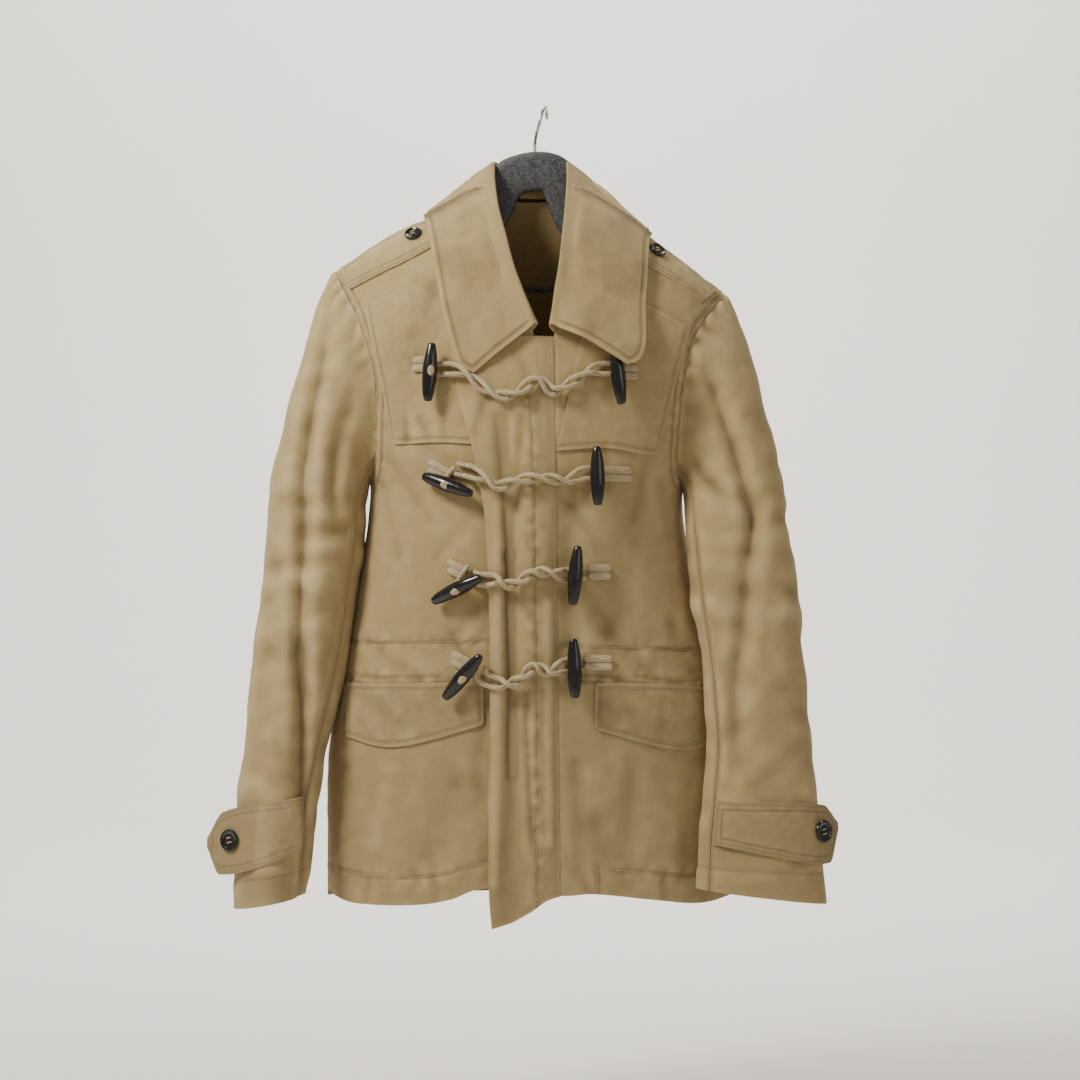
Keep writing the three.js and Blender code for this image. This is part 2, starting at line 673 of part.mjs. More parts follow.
// How deep the folds press in at t and turn.
function sleeveFolds(which, t, turn) {
  let sum = 0;
  for (const fold of SLEEVE_FOLDS[which]) {
    const start = smooth(fold.from, fold.from + 1.4, t);
    const end = fold.to === SLEEVE_END ? 1 : smooth(fold.to, fold.to - 1.6, t);
    sum += fold.deep * bell(turn - fold.turnAt(t).turn, fold.width) * start * end;
  }
  return sum;
}

// The middle of the sleeve's cloth. It starts on the armhole and becomes a free tube further down.
const ARMHOLE_CLEAR = 1.9;   // how far its first ring stands outside the armhole
function sleeve(which, t, turn) {
  const hole = ARMHOLE[which];
  const row = SLEEVE[which](t);
  const c = Math.cos(turn * Math.PI / 180);
  const s = Math.sin(turn * Math.PI / 180);
  const deep = sleeveFolds(which, t, turn);
  const inner = new THREE.Vector3((row.inX - row.outX) / 2, 0, (row.inZ - row.outZ) / 2);
  const free = new THREE.Vector3((row.outX + row.inX) / 2, row.y, (row.outZ + row.inZ) / 2);
  free.addScaledVector(inner, c * (1 - deep / 95));
  free.y += (deep - row.half) * s;
  const angle = Math.abs(((turn + 180) % 360 + 360) % 360 - 180);
  const side = s >= 0 ? -1 : 1;
  const [f, z] = armhole(hole, angle, side);
  const seam = body(f, z, side);
  const under = c > 0 ? 1.4 * c * c : 0;
  seam.x += hole.sign * (ARMHOLE_CLEAR + under + (side > 0 ? 0.4 : 0));
  if (t < 0.01) {
    return seam;
  }
  return seam.lerp(free, 0.86 * smooth(-0.2, 3.4, t) + 0.14 * smooth(0, 5, t));
}

const FRONT_SEAM = 36;
const BACK_SEAM = 262;
const SEAM_TURN = 0.5;       // half of the free gap at a sleeve seam, in degrees
const UPPER_STEPS = 16;
const SLEEVE_ROWS = 17;
const UNDER_STEPS = 9;
function makeSleeve(which, piece, from, to, steps) {
  const point = (u, v) => sleeve(which, v * SLEEVE_END, mix(from, to, u));
  const flip = which === 'right' ? -1 : 1;
  add(`sleeve_${piece}_${which}`, wall(point, steps, SLEEVE_ROWS, SLEEVE_WALL, flip), CLOTH);
}
for (const which of ['right', 'left']) {
  makeSleeve(which, 'upper', FRONT_SEAM + SEAM_TURN, BACK_SEAM - SEAM_TURN, UPPER_STEPS);
  makeSleeve(which, 'under', BACK_SEAM - 360 + SEAM_TURN, FRONT_SEAM - SEAM_TURN, UNDER_STEPS);
}

// The hanger
// Top edge of the board where it shows in the neck; beyond that it follows the shoulder line.
const BOARD_RIGHT = -190;
const BOARD_LEFT = 168;
const BOARD_MIDDLE = -12;
const BOARD_TAPER = 17;      // by how much its height shrinks towards its ends
const BELOW_SHOULDER = 9.5;
const NECK_RIGHT = -80;
const NECK_LEFT = 52;
const boardTopAt = reader(['x', 'z'], [
  [NECK_RIGHT, -108], [-66, -100], [-55, -86], [-47, -67], [-39, -56], [-31, -50.5], [-12, -46],
  [4, -47], [12, -52], [19, -65], [28, -90], [40, -107], [NECK_LEFT, -113],
]);
add('hanger_board', wall((u, v) => {
  const x = mix(BOARD_RIGHT, BOARD_LEFT, u);
  const inNeck = x > NECK_RIGHT && x < NECK_LEFT;
  const top = inNeck ? boardTopAt(x).z : shoulder(x) - BELOW_SHOULDER;
  const height = BOARD_HEIGHT - BOARD_TAPER * smooth(70, 180, Math.abs(x - BOARD_MIDDLE));
  return new THREE.Vector3(x, 0, top - height * (1 - v));
}, 32, 2, BOARD_WIDTH, 1), PLASTIC);

// A round bar along a smooth line of points.
function bar(points, radius, sides, steps) {
  const path = new THREE.CatmullRomCurve3(points, false, 'centripetal');
  const ring = new THREE.Shape();
  for (let k = 0; k < sides; k += 1) {
    const a = k * 2 * Math.PI / sides;
    const x = radius * Math.cos(a);
    const y = radius * Math.sin(a);
    if (k === 0) {
      ring.moveTo(x, y);
    } else {
      ring.lineTo(x, y);
    }
  }
  return new THREE.ExtrudeGeometry(ring, { steps, bevelEnabled: false, extrudePath: path });
}

// The hook's round end is turned, so from the front it is seen almost edge on.
const HOOK_RADIUS = 17;
const HOOK_X = -10.5;        // its stem stands in the middle of the board
const HOOK_START = -50;      // turn in degrees where the round end begins
const HOOK_STEP = 30;
const HOOK_STEPS = 7;
const HOOK_TOP = 4;          // the step that lies nearest the top, where x is 0
const hookPoints = [
  new THREE.Vector3(HOOK_X, 0, -46 + SEAM),
  new THREE.Vector3(HOOK_X, 0, -38),
  new THREE.Vector3(-10, -4, -33.5),
];
for (let k = 0; k <= HOOK_STEPS; k += 1) {
  const a = (HOOK_START + k * HOOK_STEP) * Math.PI / 180;
  hookPoints.push(new THREE.Vector3(
    k <= HOOK_TOP ? -8.8 * (1 - k / HOOK_TOP) : (k - HOOK_TOP) * 0.7,
    -HOOK_RADIUS * Math.cos(a),
    -HOOK_RADIUS + HOOK_RADIUS * Math.sin(a) + HOOK_WIRE / 2,
  ));
}
add('hanger_hook', bar(hookPoints, HOOK_WIRE / 2, 8, 24), STEEL);
add('hanger_bar', bar([
  new THREE.Vector3(-150, 0, -169.4),
  new THREE.Vector3(-148, 0, -182),
  new THREE.Vector3(-138, 0, -189.5),
  new THREE.Vector3(-60, 0, -190.5),
  new THREE.Vector3(40, 0, -190.5),
  new THREE.Vector3(100, 0, -190.5),
], BAR_WIRE / 2, 8, 14), PLASTIC);

// Buttons
// A round button with a raised rim, set on a surface point with its outward direction.
function button(name, centre, direction, diameter) {
  const r = diameter / 2;
  const profile = [
    [0, 0], [r * 0.8, 0], [r, 1.1], [r, 2.6], [r * 0.9, 3.2], [r * 0.7, 2.9], [r * 0.62, 2.2], [0, 2.2],
  ].map((p) => new THREE.Vector2(p[0], p[1]));
  const geometry = new THREE.LatheGeometry(profile, 14);
  const turn = new THREE.Quaternion().setFromUnitVectors(new THREE.Vector3(0, 1, 0), direction);
  geometry.applyQuaternion(turn);
  geometry.translate(centre.x, centre.y, centre.z);
  add(name, geometry, BLACK);
}

function bodyButton(name, x, z, size) {
  const height = LAID + PATCH_WALL / 2 + SEAM;
  const low = over(x, z, -1, height);
  const out = over(x, z, -1, height + 1).sub(low).normalize();
  button(name, low.addScaledVector(out, 0.5), out, size);
}
bodyButton('shoulder_button_right', -136, -138, BUTTON_SHOULDER);
bodyButton('shoulder_button_left', 115, -155, BUTTON_SHOULDER);

// Cuff tabs
// A tab follows the sleeve: t down its length and turn round it at each end.
function sleeveOver(which, t, turn, distance) {
  const round = sleeve(which, t, turn + 2).sub(sleeve(which, t, turn - 2));
  const down = sleeve(which, t + 0.1, turn).sub(sleeve(which, t - 0.1, turn));
  const out = round.cross(down).normalize().multiplyScalar(which === 'right' ? 1 : -1);
  // The middle of the facet of the upper sleeve below this spot.
  const from = FRONT_SEAM + SEAM_TURN;
  const step = (BACK_SEAM - SEAM_TURN - from) / UPPER_STEPS;
  const rows = SLEEVE_ROWS / SLEEVE_END;
  const i = Math.floor((turn - from) / step);
  const j = Math.floor(t * rows);
  const s = (turn - from) / step - i;
  const r = t * rows - j;
  const at = (a, b) => sleeve(which, b / rows, from + a * step);
  const low = at(i, j);
  const high = at(i + 1, j + 1);
  const middle = s >= r
    ? low.multiplyScalar(1 - s).addScaledVector(at(i + 1, j), s - r).addScaledVector(high, r)
    : low.multiplyScalar(1 - r).addScaledVector(at(i, j + 1), r - s).addScaledVector(high, s);
  return middle.addScaledVector(out, distance);
}

// Past this turn a tab leaves the sleeve and stands off straight, with its point free.
const TAB_LEAVE = { right: 112, left: 158 };
const MM_PER_DEGREE = 0.8;
function tabPoint(which, t, turn, distance) {
  const leave = TAB_LEAVE[which];
  const at = sleeveOver(which, t, Math.min(turn, leave), distance);
  if (turn > leave) {
    const along = at.clone().sub(sleeveOver(which, t, leave - 8, distance)).normalize();
    at.addScaledVector(along, (turn - leave) * MM_PER_DEGREE);
  }
  return at;
}

// Height of a tab's middle above the middle of the sleeve's cloth, with room for its facets.
const TAB_LIFT = { right: 1.2, left: 0.5 };
const tabOff = (which) => SLEEVE_WALL / 2 + SEAM + TAB_LIFT[which] + PATCH_WALL / 2;
const TABS = {
  right: {
    low: reader(['u', 't', 'turn'], [[0, 12.03, 42], [0.857, 12.36, 165], [1, 11.86, 187]]),
    high: reader(['u', 't', 'turn'], [[0, 10.94, 42], [0.857, 11.2, 165], [1, 11.7, 187]]),
    button: [11.74, 149],
  },
  left: {
    low: reader(['u', 't', 'turn'], [[0, 11.95, 40], [0.857, 12.3, 174], [1, 11.66, 196]]),
    high: reader(['u', 't', 'turn'], [[0, 11.02, 40], [0.857, 11.1, 174], [1, 11.5, 196]]),
    button: [11.68, 166],
  },
};
for (const which of ['right', 'left']) {
  const tab = TABS[which];
  const flip = which === 'right' ? -1 : 1;
  add(`cuff_tab_${which}`, wall((u, v) => {
    const a = tab.low(u);
    const b = tab.high(u);
    return tabPoint(which, mix(a.t, b.t, v), mix(a.turn, b.turn, v), tabOff(which));
  }, 14, 3, PATCH_WALL, flip), CLOTH_SHADE);
  const height = tabOff(which) + PATCH_WALL / 2 + SEAM;
  const [t, turn] = tab.button;
  const low = tabPoint(which, t, turn, height);
  const round = tabPoint(which, t, turn + 2, height).sub(tabPoint(which, t, turn - 2, height));
  const down = tabPoint(which, t + 0.1, turn, height).sub(tabPoint(which, t - 0.1, turn, height));
  const out = round.cross(down).normalize().multiplyScalar(which === 'right' ? 1 : -1);
  button(`cuff_button_${which}`, low.addScaledVector(out, 0.2), out, BUTTON_CUFF);
}

// Toggle fastenings
// One row for each fastening from the top. patch: both sewn tabs, as x and z of the outer end and x
// of the inner one. toggle: x, z, turn and a change of its height. path: the middle of the cord pair.
const FROGS = [
  {
    patch: [[-134, -273.5, -118.5], [78, -282, 93]],
    toggle: [[-111, -284.5, 86], [70, -287, 95]],
    path: [[-115, -280], [-101, -280], [-90, -281], [-76, -287], [-59, -302], [-41, -309], [-25, -304],
      [-15, -295], [-5, -292], [7, -304], [17, -300], [30, -292], [45, -282], [60, -279.5], [74, -280.5]],
    twist: [-88, 50],
    turns: 3,
  },
  {
    patch: [[-117, -378, -94], [59, -386, 86]],
    toggle: [[-95, -398, -22, -5.8], [49, -389.5, 91]],
    path: [[-90, -381], [-83, -383], [-76, -384], [-66, -388], [-56, -393], [-46, -400], [-30, -394],
      [-5, -391],
      [17, -393], [30, -389], [38, -386], [48, -386], [57, -386]],
    twist: [-66, 30],
    turns: 2,
  },
  {
    patch: [[-97, -479.5, -80], [44, -486, 65]],
    toggle: [[-86, -504, 27, -3.7], [30.5, -490, 85]],
    path: [[-75, -489], [-71, -492], [-60, -494], [-49, -494], [-35, -499], [-23, -494], [-12, -486],
      [3, -487],
      [14, -489], [20, -489], [30, -488], [41, -487]],
    twist: [-50, 12],
    turns: 2,
  },
  {
    patch: [[-93, -573, -72], [40, -578, 67]],
    toggle: [[-80, -592, 50, -0.7], [29, -583.5, 89]],
    path: [[-64, -583], [-61, -592], [-46, -598], [-33, -598], [-22, -591], [-10, -580], [3, -588],
      [14, -583],
      [21, -581], [30, -579], [38, -579]],
    twist: [-44, 12],
    turns: 2,
  },
];

// Height of the highest cloth below a fastening.
function stack(x, z) {
  const row = placketAt(z);
  const onPatch = z > -356 && (x < row.edge || x > row.seam);
  return Math.max(lapOffset(x, z), onPatch ? LAID - WALL / 2 + PATCH_WALL / 2 : 0);
}

// The same for the highest spot between x - reach and x + reach.
function highest(x, z, reach) {
  let top = 0;
  for (let d = -reach; d <= reach; d += reach / 4) {
    top = Math.max(top, stack(x + d, z));
  }
  return top;
}

// A horn toggle lies along turn in degrees, and each of its ends keeps clear of the cloth below.
function toggle(name, x, z, turn, rest) {
  const half = TOGGLE_LENGTH / 2;
  const r = TOGGLE_WIDTH / 2;
  const profile = [
    [0, -half], [r * 0.5, -half + 0.8], [r * 0.74, -half + 5], [r, -6],
    [r * 0.97, 6], [r * 0.7, half - 5], [r * 0.46, half - 0.8], [0, half],
  ].map((p) => new THREE.Vector2(p[0], p[1]));
  const geometry = new THREE.LatheGeometry(profile, 8);
  const reach = TOGGLE_LENGTH * 0.47;
  const a = turn * Math.PI / 180;
  const end = (away) => {
    const ex = x + away * Math.cos(a);
    const ez = z + away * Math.sin(a);
    return over(ex, ez, -1, Math.max(highest(x, z, 7), highest(ex, ez, 7)) + rest);
  };
  const ahead = end(reach);
  const behind = end(-reach);
  const centre = ahead.clone().lerp(behind, 0.5);
  const direction = ahead.sub(behind).normalize();
  geometry.applyQuaternion(new THREE.Quaternion().setFromUnitVectors(new THREE.Vector3(0, 1, 0), direction));
  geometry.translate(centre.x, centre.y, centre.z);
  add(name, geometry, BLACK);
}

const CORD_BASE = WALL / 2 + SEAM;
const CORD_TAB = 2;          // thickness of a sewn cord tab
const CORD_TAB_HALF = 8.2;   // half of its width
const SLANT = { right: -0.55, left: -0.02 };

// A sewn tab, slanted by the given slope.
function cordTab(name, [outer, z, inner], slope) {
  const edge = (up) => reader(['u', 'x', 'z'], [
    [0, outer, z + up],
    [0.5, (outer + inner) / 2, z + up + slope * (inner - outer) / 2],
    [1, inner, z + up + slope * (inner - outer)],
  ]);
  const low = highest((outer + inner) / 2, z, Math.abs(inner - outer) / 2 + 1);
  laid(name, edge(-CORD_TAB_HALF), edge(CORD_TAB_HALF), 2, 1, low + CORD_BASE + 1.6, CORD_TAB, CREAM);
}

// The two strands lie side by side at the tabs and wind round each other between the toggles.
const CORD_POINTS = 34;
const CORD_STEPS = 17;
const TWIST_FADE = 8;        // distance over which the twist starts and ends
function cord(name, frog, strand) {
  const path = frog.path.map(([x, z]) => new THREE.Vector3(x, 0, z));
  const line = new THREE.CatmullRomCurve3(path, false, 'centripetal');
  const [from, to] = frog.twist;
  const points = [];
  for (let i = 0; i <= CORD_POINTS; i += 1) {
    const at = line.getPoint(i / CORD_POINTS);
    const along = line.getTangent(i / CORD_POINTS);
    const start = smooth(from - TWIST_FADE, from + TWIST_FADE, at.x);
    const wound = start * smooth(to + TWIST_FADE, to - TWIST_FADE, at.x);
    const share = Math.min(1, Math.max(0, (at.x - from) / (to - from)));
    const angle = strand * Math.PI + frog.turns * 2 * Math.PI * share;
    const sideways = CORD_TWIST * Math.cos(angle) * (1.5 - 0.5 * wound);
    const rise = wound * CORD_TWIST * (1 + Math.sin(angle));
    const height = highest(at.x, at.z, 7.6) + CORD_BASE + CORD / 2 + 0.35 + rise;
    points.push(over(at.x - along.z * sideways, at.z + along.x * sideways, -1, height));
  }
  add(name, bar(points, CORD / 2, 8, CORD_STEPS), CREAM);
}

FROGS.forEach((frog, k) => {
  const number = k + 1;
  ['right', 'left'].forEach((which, side) => {
    // The top tab of the right front lies level and the others slant.
    const slope = k === 0 ? SLANT.left : SLANT[which];
    cordTab(`cord_tab_${which}_${number}`, frog.patch[side], slope);
    const [x, z, turn, lower = 0] = frog.toggle[side];
    const rest = CORD_BASE + CORD + TOGGLE_WIDTH / 2 + SEAM + 0.4 + lower;
    toggle(`toggle_${which}_${number}`, x, z, turn, rest);
  });
  cord(`cord_${number}_a`, frog, 0);
  cord(`cord_${number}_b`, frog, 1);
});

export default coat;
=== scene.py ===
# %% [markdown]
# # A short duffle coat on a hanger
# The coat is tan cotton twill, closed with four twisted cord loops and black horn toggles.
# The solids already give every size. Here each of them gets its fine surface: soft shells of
# cloth with their folds, stitched edges, braided cord and glossy buttons.
# %% Load the frame
import json
import math

import bpy
import numpy as np
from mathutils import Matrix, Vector, noise

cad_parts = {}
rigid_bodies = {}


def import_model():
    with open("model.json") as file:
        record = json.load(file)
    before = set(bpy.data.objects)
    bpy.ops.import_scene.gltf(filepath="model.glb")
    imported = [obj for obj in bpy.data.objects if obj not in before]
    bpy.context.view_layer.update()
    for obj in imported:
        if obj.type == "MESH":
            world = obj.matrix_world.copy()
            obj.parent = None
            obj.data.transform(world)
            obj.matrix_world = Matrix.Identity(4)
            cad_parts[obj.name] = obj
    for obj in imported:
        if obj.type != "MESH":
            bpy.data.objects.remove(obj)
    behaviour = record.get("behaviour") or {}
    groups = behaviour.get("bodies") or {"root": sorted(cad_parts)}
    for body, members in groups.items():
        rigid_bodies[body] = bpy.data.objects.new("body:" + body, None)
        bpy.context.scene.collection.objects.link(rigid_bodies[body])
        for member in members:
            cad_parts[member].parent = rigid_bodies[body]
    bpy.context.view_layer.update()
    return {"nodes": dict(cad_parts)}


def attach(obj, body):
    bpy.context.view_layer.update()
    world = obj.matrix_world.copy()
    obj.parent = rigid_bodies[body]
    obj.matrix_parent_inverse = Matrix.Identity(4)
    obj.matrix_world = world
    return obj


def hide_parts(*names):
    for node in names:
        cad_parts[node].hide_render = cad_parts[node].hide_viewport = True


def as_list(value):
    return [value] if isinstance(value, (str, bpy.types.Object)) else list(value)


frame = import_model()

MM = 0.001
WALL = 2.4
SLEEVE_WALL = 2.2
COLLAR_WALL = 2.6
PATCH_WALL = 1.9
SHOULDER_ROUND = 110.0
HEM_Z = -826.0
CORD = 5.4
CORD_TWIST = 3.55
TOGGLE_LENGTH = 60.0
TOGGLE_WIDTH = 14.6
STITCH_LENGTH = 3.0
STITCH_GAP = 1.1
QUICK = 1
print("nodes in the frame:", len(frame["nodes"]))

# %% [markdown]
# ## The photographer's place
# The picture was taken square on, from about three metres. A long lens at that distance keeps
# the sleeves and the hem at their true widths, so the camera comes before any piece.
# %% Camera
PIXEL = 1.05
CAMERA_DISTANCE = 3000.0
MIDDLE_X = -5.25
MIDDLE_Z = -453.6
SENSOR = 36.0
bpy.ops.object.select_all(action="DESELECT")
bpy.ops.object.camera_add(
    location=(MIDDLE_X * MM, -CAMERA_DISTANCE * MM, MIDDLE_Z * MM), rotation=(math.radians(90), 0, 0)
)
camera = bpy.context.object
camera.data.sensor_width = SENSOR
camera.data.lens = SENSOR * CAMERA_DISTANCE / (1080 * PIXEL)
camera.data.dof.use_dof = False
bpy.context.scene.camera = camera
print("lens in mm:", round(camera.data.lens, 1))

# %% [markdown]
# ## Reading short tables
# A coat is drafted from a few measures, and the lines between them are drawn with a curve.
# `reader` does the same: it takes rows of measures and gives a smooth value between them, for
# thousands of points at once, which keeps the script quick.
# %% Tables and small helpers
def reader(columns, *rows):
    data = np.array(rows, float)
    keys = data[:, 0]
    low = np.maximum(np.arange(len(keys)) - 1, 0)
    high = np.minimum(np.arange(len(keys)) + 1, len(keys) - 1)
    slopes = (data[high] - data[low]) / (keys[high] - keys[low])[:, None]

    def at(value):
        value = np.asarray(value, float)
        i = np.clip(np.searchsorted(keys, value, side="right") - 1, 0, len(keys) - 2)
        span = keys[i + 1] - keys[i]
        s = np.clip((value - keys[i]) / span, 0, 1)
        s2, s3 = s * s, s ** 3
        blends = (2 * s3 - 3 * s2 + 1, 3 * s2 - 2 * s3, (s3 - 2 * s2 + s) * span, (s3 - s2) * span)
        return {
            name: blends[0] * data[i, c] + blends[1] * data[i + 1, c]
            + blends[2] * slopes[i, c] + blends[3] * slopes[i + 1, c]
            for c, name in enumerate(columns)
        }

    return at


def smooth(a, b, x):
    s = np.clip((np.asarray(x, float) - a) / (b - a), 0, 1)
    return s * s * (3 - 2 * s)


def mix(a, b, s):
    return a + (b - a) * s


def bell(x, width):
    return np.exp(-((x / width) ** 2))


def unit(v):
    return v / np.maximum(np.linalg.norm(v, axis=-1, keepdims=True), 1e-12)


def xyz(x, y, z):
    return np.stack(np.broadcast_arrays(x, y, z), axis=-1).astype(float)


# %% [markdown]
# ## The form that the cloth hangs in
# Front and back hang from the shoulder line as two flattened halves of a tube. The table gives the
# side seams and the depth at each height, and the long folds are valleys pressed into the front.
# The same measures carry every piece that is sewn on, so a flap never floats over its panel.
# %% Body form
body_at = reader(
    ("z", "right", "left", "front", "back"),
    (-840, -227, 196, 107, 42), (-760, -227, 197, 106, 42), (-700, -226, 197, 105, 42),
    (-650, -223, 194, 105, 41), (-610, -217, 186, 105, 40), (-560, -208, 174, 105, 39),
    (-500, -196, 157, 104, 38), (-440, -185, 145, 103, 37), (-400, -182, 143, 101, 36),
    (-380, -186, 146, 100, 36), (-340, -196, 156, 96, 35), (-290, -208, 172, 90, 34),
    (-230, -232, 200, 83, 33), (-180, -246, 222, 77, 31), (-100, -256, 232, 66, 27),
    (-40, -256, 232, 60, 24),
)
shoulder_at = reader(
    ("x", "z"),
    (-260, -201), (-227, -178), (-186, -152), (-144, -126), (-121, -118), (-98, -106), (-80, -95),
    (-50, -87), (-15, -85), (25, -88), (50, -98), (80, -117), (104, -134), (142, -162), (181, -191),
    (197, -203), (240, -234),
)


def shoulder(x):
    return shoulder_at(x)["z"]


def across(x, z):
    row = body_at(z)
    middle, half = (row["right"] + row["left"]) / 2, (row["left"] - row["right"]) / 2
    return np.arcsin(np.clip((x - middle) / half, -1, 1)) * 2 / math.pi


# Each fold runs from x0, z0 to x1, z1, with its width and depth. A negative depth is a ridge.
FRONT_FOLDS = (
    (-113, -200, -150, -345, 20, 5), (113, -190, 110, -255, 18, 3), (24, -400, 22, -560, 14, 3.5),
    (-92, -705, -134, -785, 18, 4), (-64, -712, -112, -775, 16, 3), (50, -745, 62, -772, 16, 3),
    (96, -400, 70, -540, 20, 3), (-130, -450, -105, -560, 22, 3),
)
SMALL_FOLDS = (
    (-126, -330, -118, -350, 5, 1.5), (-142, -332, -140, -350, 5, 1.3), (-104, -335, -100, -352, 4, 1.0),
    (60, -360, 66, -400, 6, 1.2), (104, -372, 92, -430, 8, 1.6), (120, -395, 128, -450, 7, 1.4),
    (-160, -372, -120, -430, 9, 1.8), (-168, -400, -150, -470, 7, 1.5), (-140, -350, -95, -372, 7, 1.2),
    (-180, -560, -130, -596, 8, 1.6), (-100, -545, -70, -590, 7, 1.4), (60, -548, 110, -592, 8, 1.6),
    (130, -540, 150, -590, 7, 1.5), (-190, -610, -150, -640, 9, 1.4), (-60, -620, -70, -700, 8, 1.3),
    (30, -680, 34, -790, 8, 1.6), (88, -680, 80, -800, 12, 1.6), (150, -690, 140, -800, 10, 1.6),
    (-205, -690, -190, -800, 12, 1.8), (-160, -690, -170, -760, 12, -1.6), (62, -620, 120, -650, 9, 1.0),
    (28, -420, 60, -470, 7, 1.2), (34, -500, 70, -545, 8, 1.3), (-75, -430, -110, -470, 8, 1.3),
    (-70, -520, -100, -560, 7, 1.2), (40, -800, 48, -822, 4, 1.2), (-112, -796, -110, -822, 5, 1.0),
    (120, -800, 122, -822, 5, 1.0), (-180, -800, -184, -824, 5, 1.0),
)


def valleys(x, z, folds):
    total = 0
    for x0, z0, x1, z1, width, deep in folds:
        dx, dz = x1 - x0, z1 - z0
        s = np.clip(((x - x0) * dx + (z - z0) * dz) / (dx * dx + dz * dz), 0, 1)
        total = total + deep * bell(np.hypot(x - x0 - dx * s, z - z0 - dz * s), width)
    return total


def body(f, z, side):
    row = body_at(z)
    turn = f * math.pi / 2
    x = (row["right"] + row["left"]) / 2 + (row["left"] - row["right"]) / 2 * np.sin(turn)
    line = shoulder(x)
    height = np.minimum(z, line - 0.0012)
    drop = np.minimum(1, (line - height) / SHOULDER_ROUND)
    curve = np.sqrt(1 - (1 - drop) ** 2)
    if side < 0:
        depth = row["front"] - valleys(x, height, FRONT_FOLDS)
    else:
        depth = row["back"]
    return xyz(x, side * depth * np.cos(turn) * curve, height)


def body_normal(f, z, side):
    x = body(f, z, side)[..., 0]
    step = np.minimum(0.6, np.maximum(0.004, shoulder(x) - z) * 0.4)
    across_step = body(f + 0.004, z, side) - body(f - 0.004, z, side)
    up_step = body(f, z + step, side) - body(f, z - step, side)
    return unit(np.cross(across_step, up_step)) * -side


def over(x, z, side, distance):
    low = np.minimum(z, shoulder(x) - 0.05)
    f = across(x, low)
    return body(f, low, side) + body_normal(f, low, side) * np.asarray(distance)[..., None]


# %% [markdown]
# ## Where the lap stands proud
# The wearer's left front ends in a wide lap over the opening. Its free edge stands off the cloth,
# then the lap sinks to a trough and rises again to its seam. Cords and toggles lie on it, so its
# profile is read first: `stack` says how high the cloth reaches at any place.
# %% Lap form
SEAM_X = 16.0
placket_at = reader(
    ("z", "edge", "seam"),
    (-850, -53, 17), (-810, -56, 17), (-676, -55, 15), (-555, -55, 13), (-476, -57, 11.5), (-421, -61, 9),
    (-358, -73, 7.5), (-312, -86, 8), (-270, -93, 8), (-236, -97, 8),
)
LAP_TOP = -246.0
lap_hem_at = reader(("u", "z"), (0, -847), (0.28, -841), (0.55, -831), (0.8, -819), (1, -814.5))
lap_at = reader(
    ("u", "off"),
    (0, 9.5), (0.12, 8.8), (0.34, 4.4), (0.55, 5.4), (0.7, 4.6), (0.83, 3.4), (1, 0),
)


def lap_off(u, z):
    off = lap_at(u)["off"]
    return np.where(off > 3.4, mix(3.4, off, smooth(-288, -345, z)), off)


def lap_share(x, z):
    row = placket_at(z)
    return (x - row["edge"]) / (row["seam"] - row["edge"])


def stack(x, z):
    share = lap_share(x, z)
    lap = np.where((share > -0.02) & (share <= 1), lap_off(np.clip(share, 0, 1), z), 0)
    patch = np.where((z > -356) & ((share < 0) | (share > 1)), PATCH_WALL + 0.5, 0)
    return np.maximum(lap, patch)


def highest(x, z, reach):
    return np.maximum.reduce([stack(x + d, z) for d in np.linspace(-reach, reach, 9)])


def catmull(points, v):
    knots = [np.zeros(points[0].shape[:-1])]
    for a, b in zip(points[:-1], points[1:]):
        knots.append(knots[-1] + np.sqrt(np.linalg.norm(b - a, axis=-1)) + 1e-9)
    first, last = 2 * points[0] - points[1], 2 * points[-1] - points[-2]
    line = [first] + points + [last]
    at = [knots[0] - (knots[1] - knots[0])] + knots + [knots[-1] + (knots[-1] - knots[-2])]
    count = len(points) - 1
    place = np.clip(v, 0, 1) * count
    out = np.zeros(points[0].shape)
    for k in range(count):
        use = (place >= k) & ((place < k + 1) | (k == count - 1))
        p, t = line[k:k + 4], at[k:k + 4]
        x = mix(t[1], t[2], place - k)

        def step(a, b, ta, tb):
            return a * ((tb - x) / (tb - ta))[..., None] + b * ((x - ta) / (tb - ta))[..., None]

        a1, a2, a3 = step(p[0], p[1], t[0], t[1]), step(p[1], p[2], t[1], t[2]), step(p[2], p[3], t[2], t[3])
        b1, b2 = step(a1, a2, t[0], t[2]), step(a2, a3, t[1], t[3])
        out = np.where(use[..., None], step(b1, b2, t[1], t[2]), out)
    return out


NOISE_TURN = np.array(((0.79, 0.47, -0.39), (-0.28, 0.85, 0.45), (0.54, -0.25, 0.80)))


def crinkle(points, size, seed):
    spots = points.reshape(-1, 3) @ NOISE_TURN / size
    values = [noise.noise(Vector(p) + Vector((seed, 0, 0))) for p in spots]
    return np.array(values).reshape(points.shape[:-1])


def curve_through(places, count):
    v = np.linspace(0, 1, count)
    return catmull([np.broadcast_to(np.array(p, float), (count, 3)) for p in places], v)


# %% [markdown]
# ## Building blocks for materials
# Every finish here is made of nodes that read the object's own space, its UV map or an attribute.
# The helpers below add a node, mix two colours, scale a value and raise a pattern from the surface.
# %% Material helpers
def shader(name, roughness, sheen=0.0, coat=0.0, metallic=0.0):
    material = bpy.data.materials.new(name)
    material.use_nodes = True
    surface = material.node_tree.nodes["Principled BSDF"]
    surface.inputs["Roughness"].default_value = roughness
    surface.inputs["Sheen Weight"].default_value = sheen
    surface.inputs["Coat Weight"].default_value = coat
    surface.inputs["Metallic"].default_value = metallic
    return material, material.node_tree.nodes, material.node_tree.links, surface


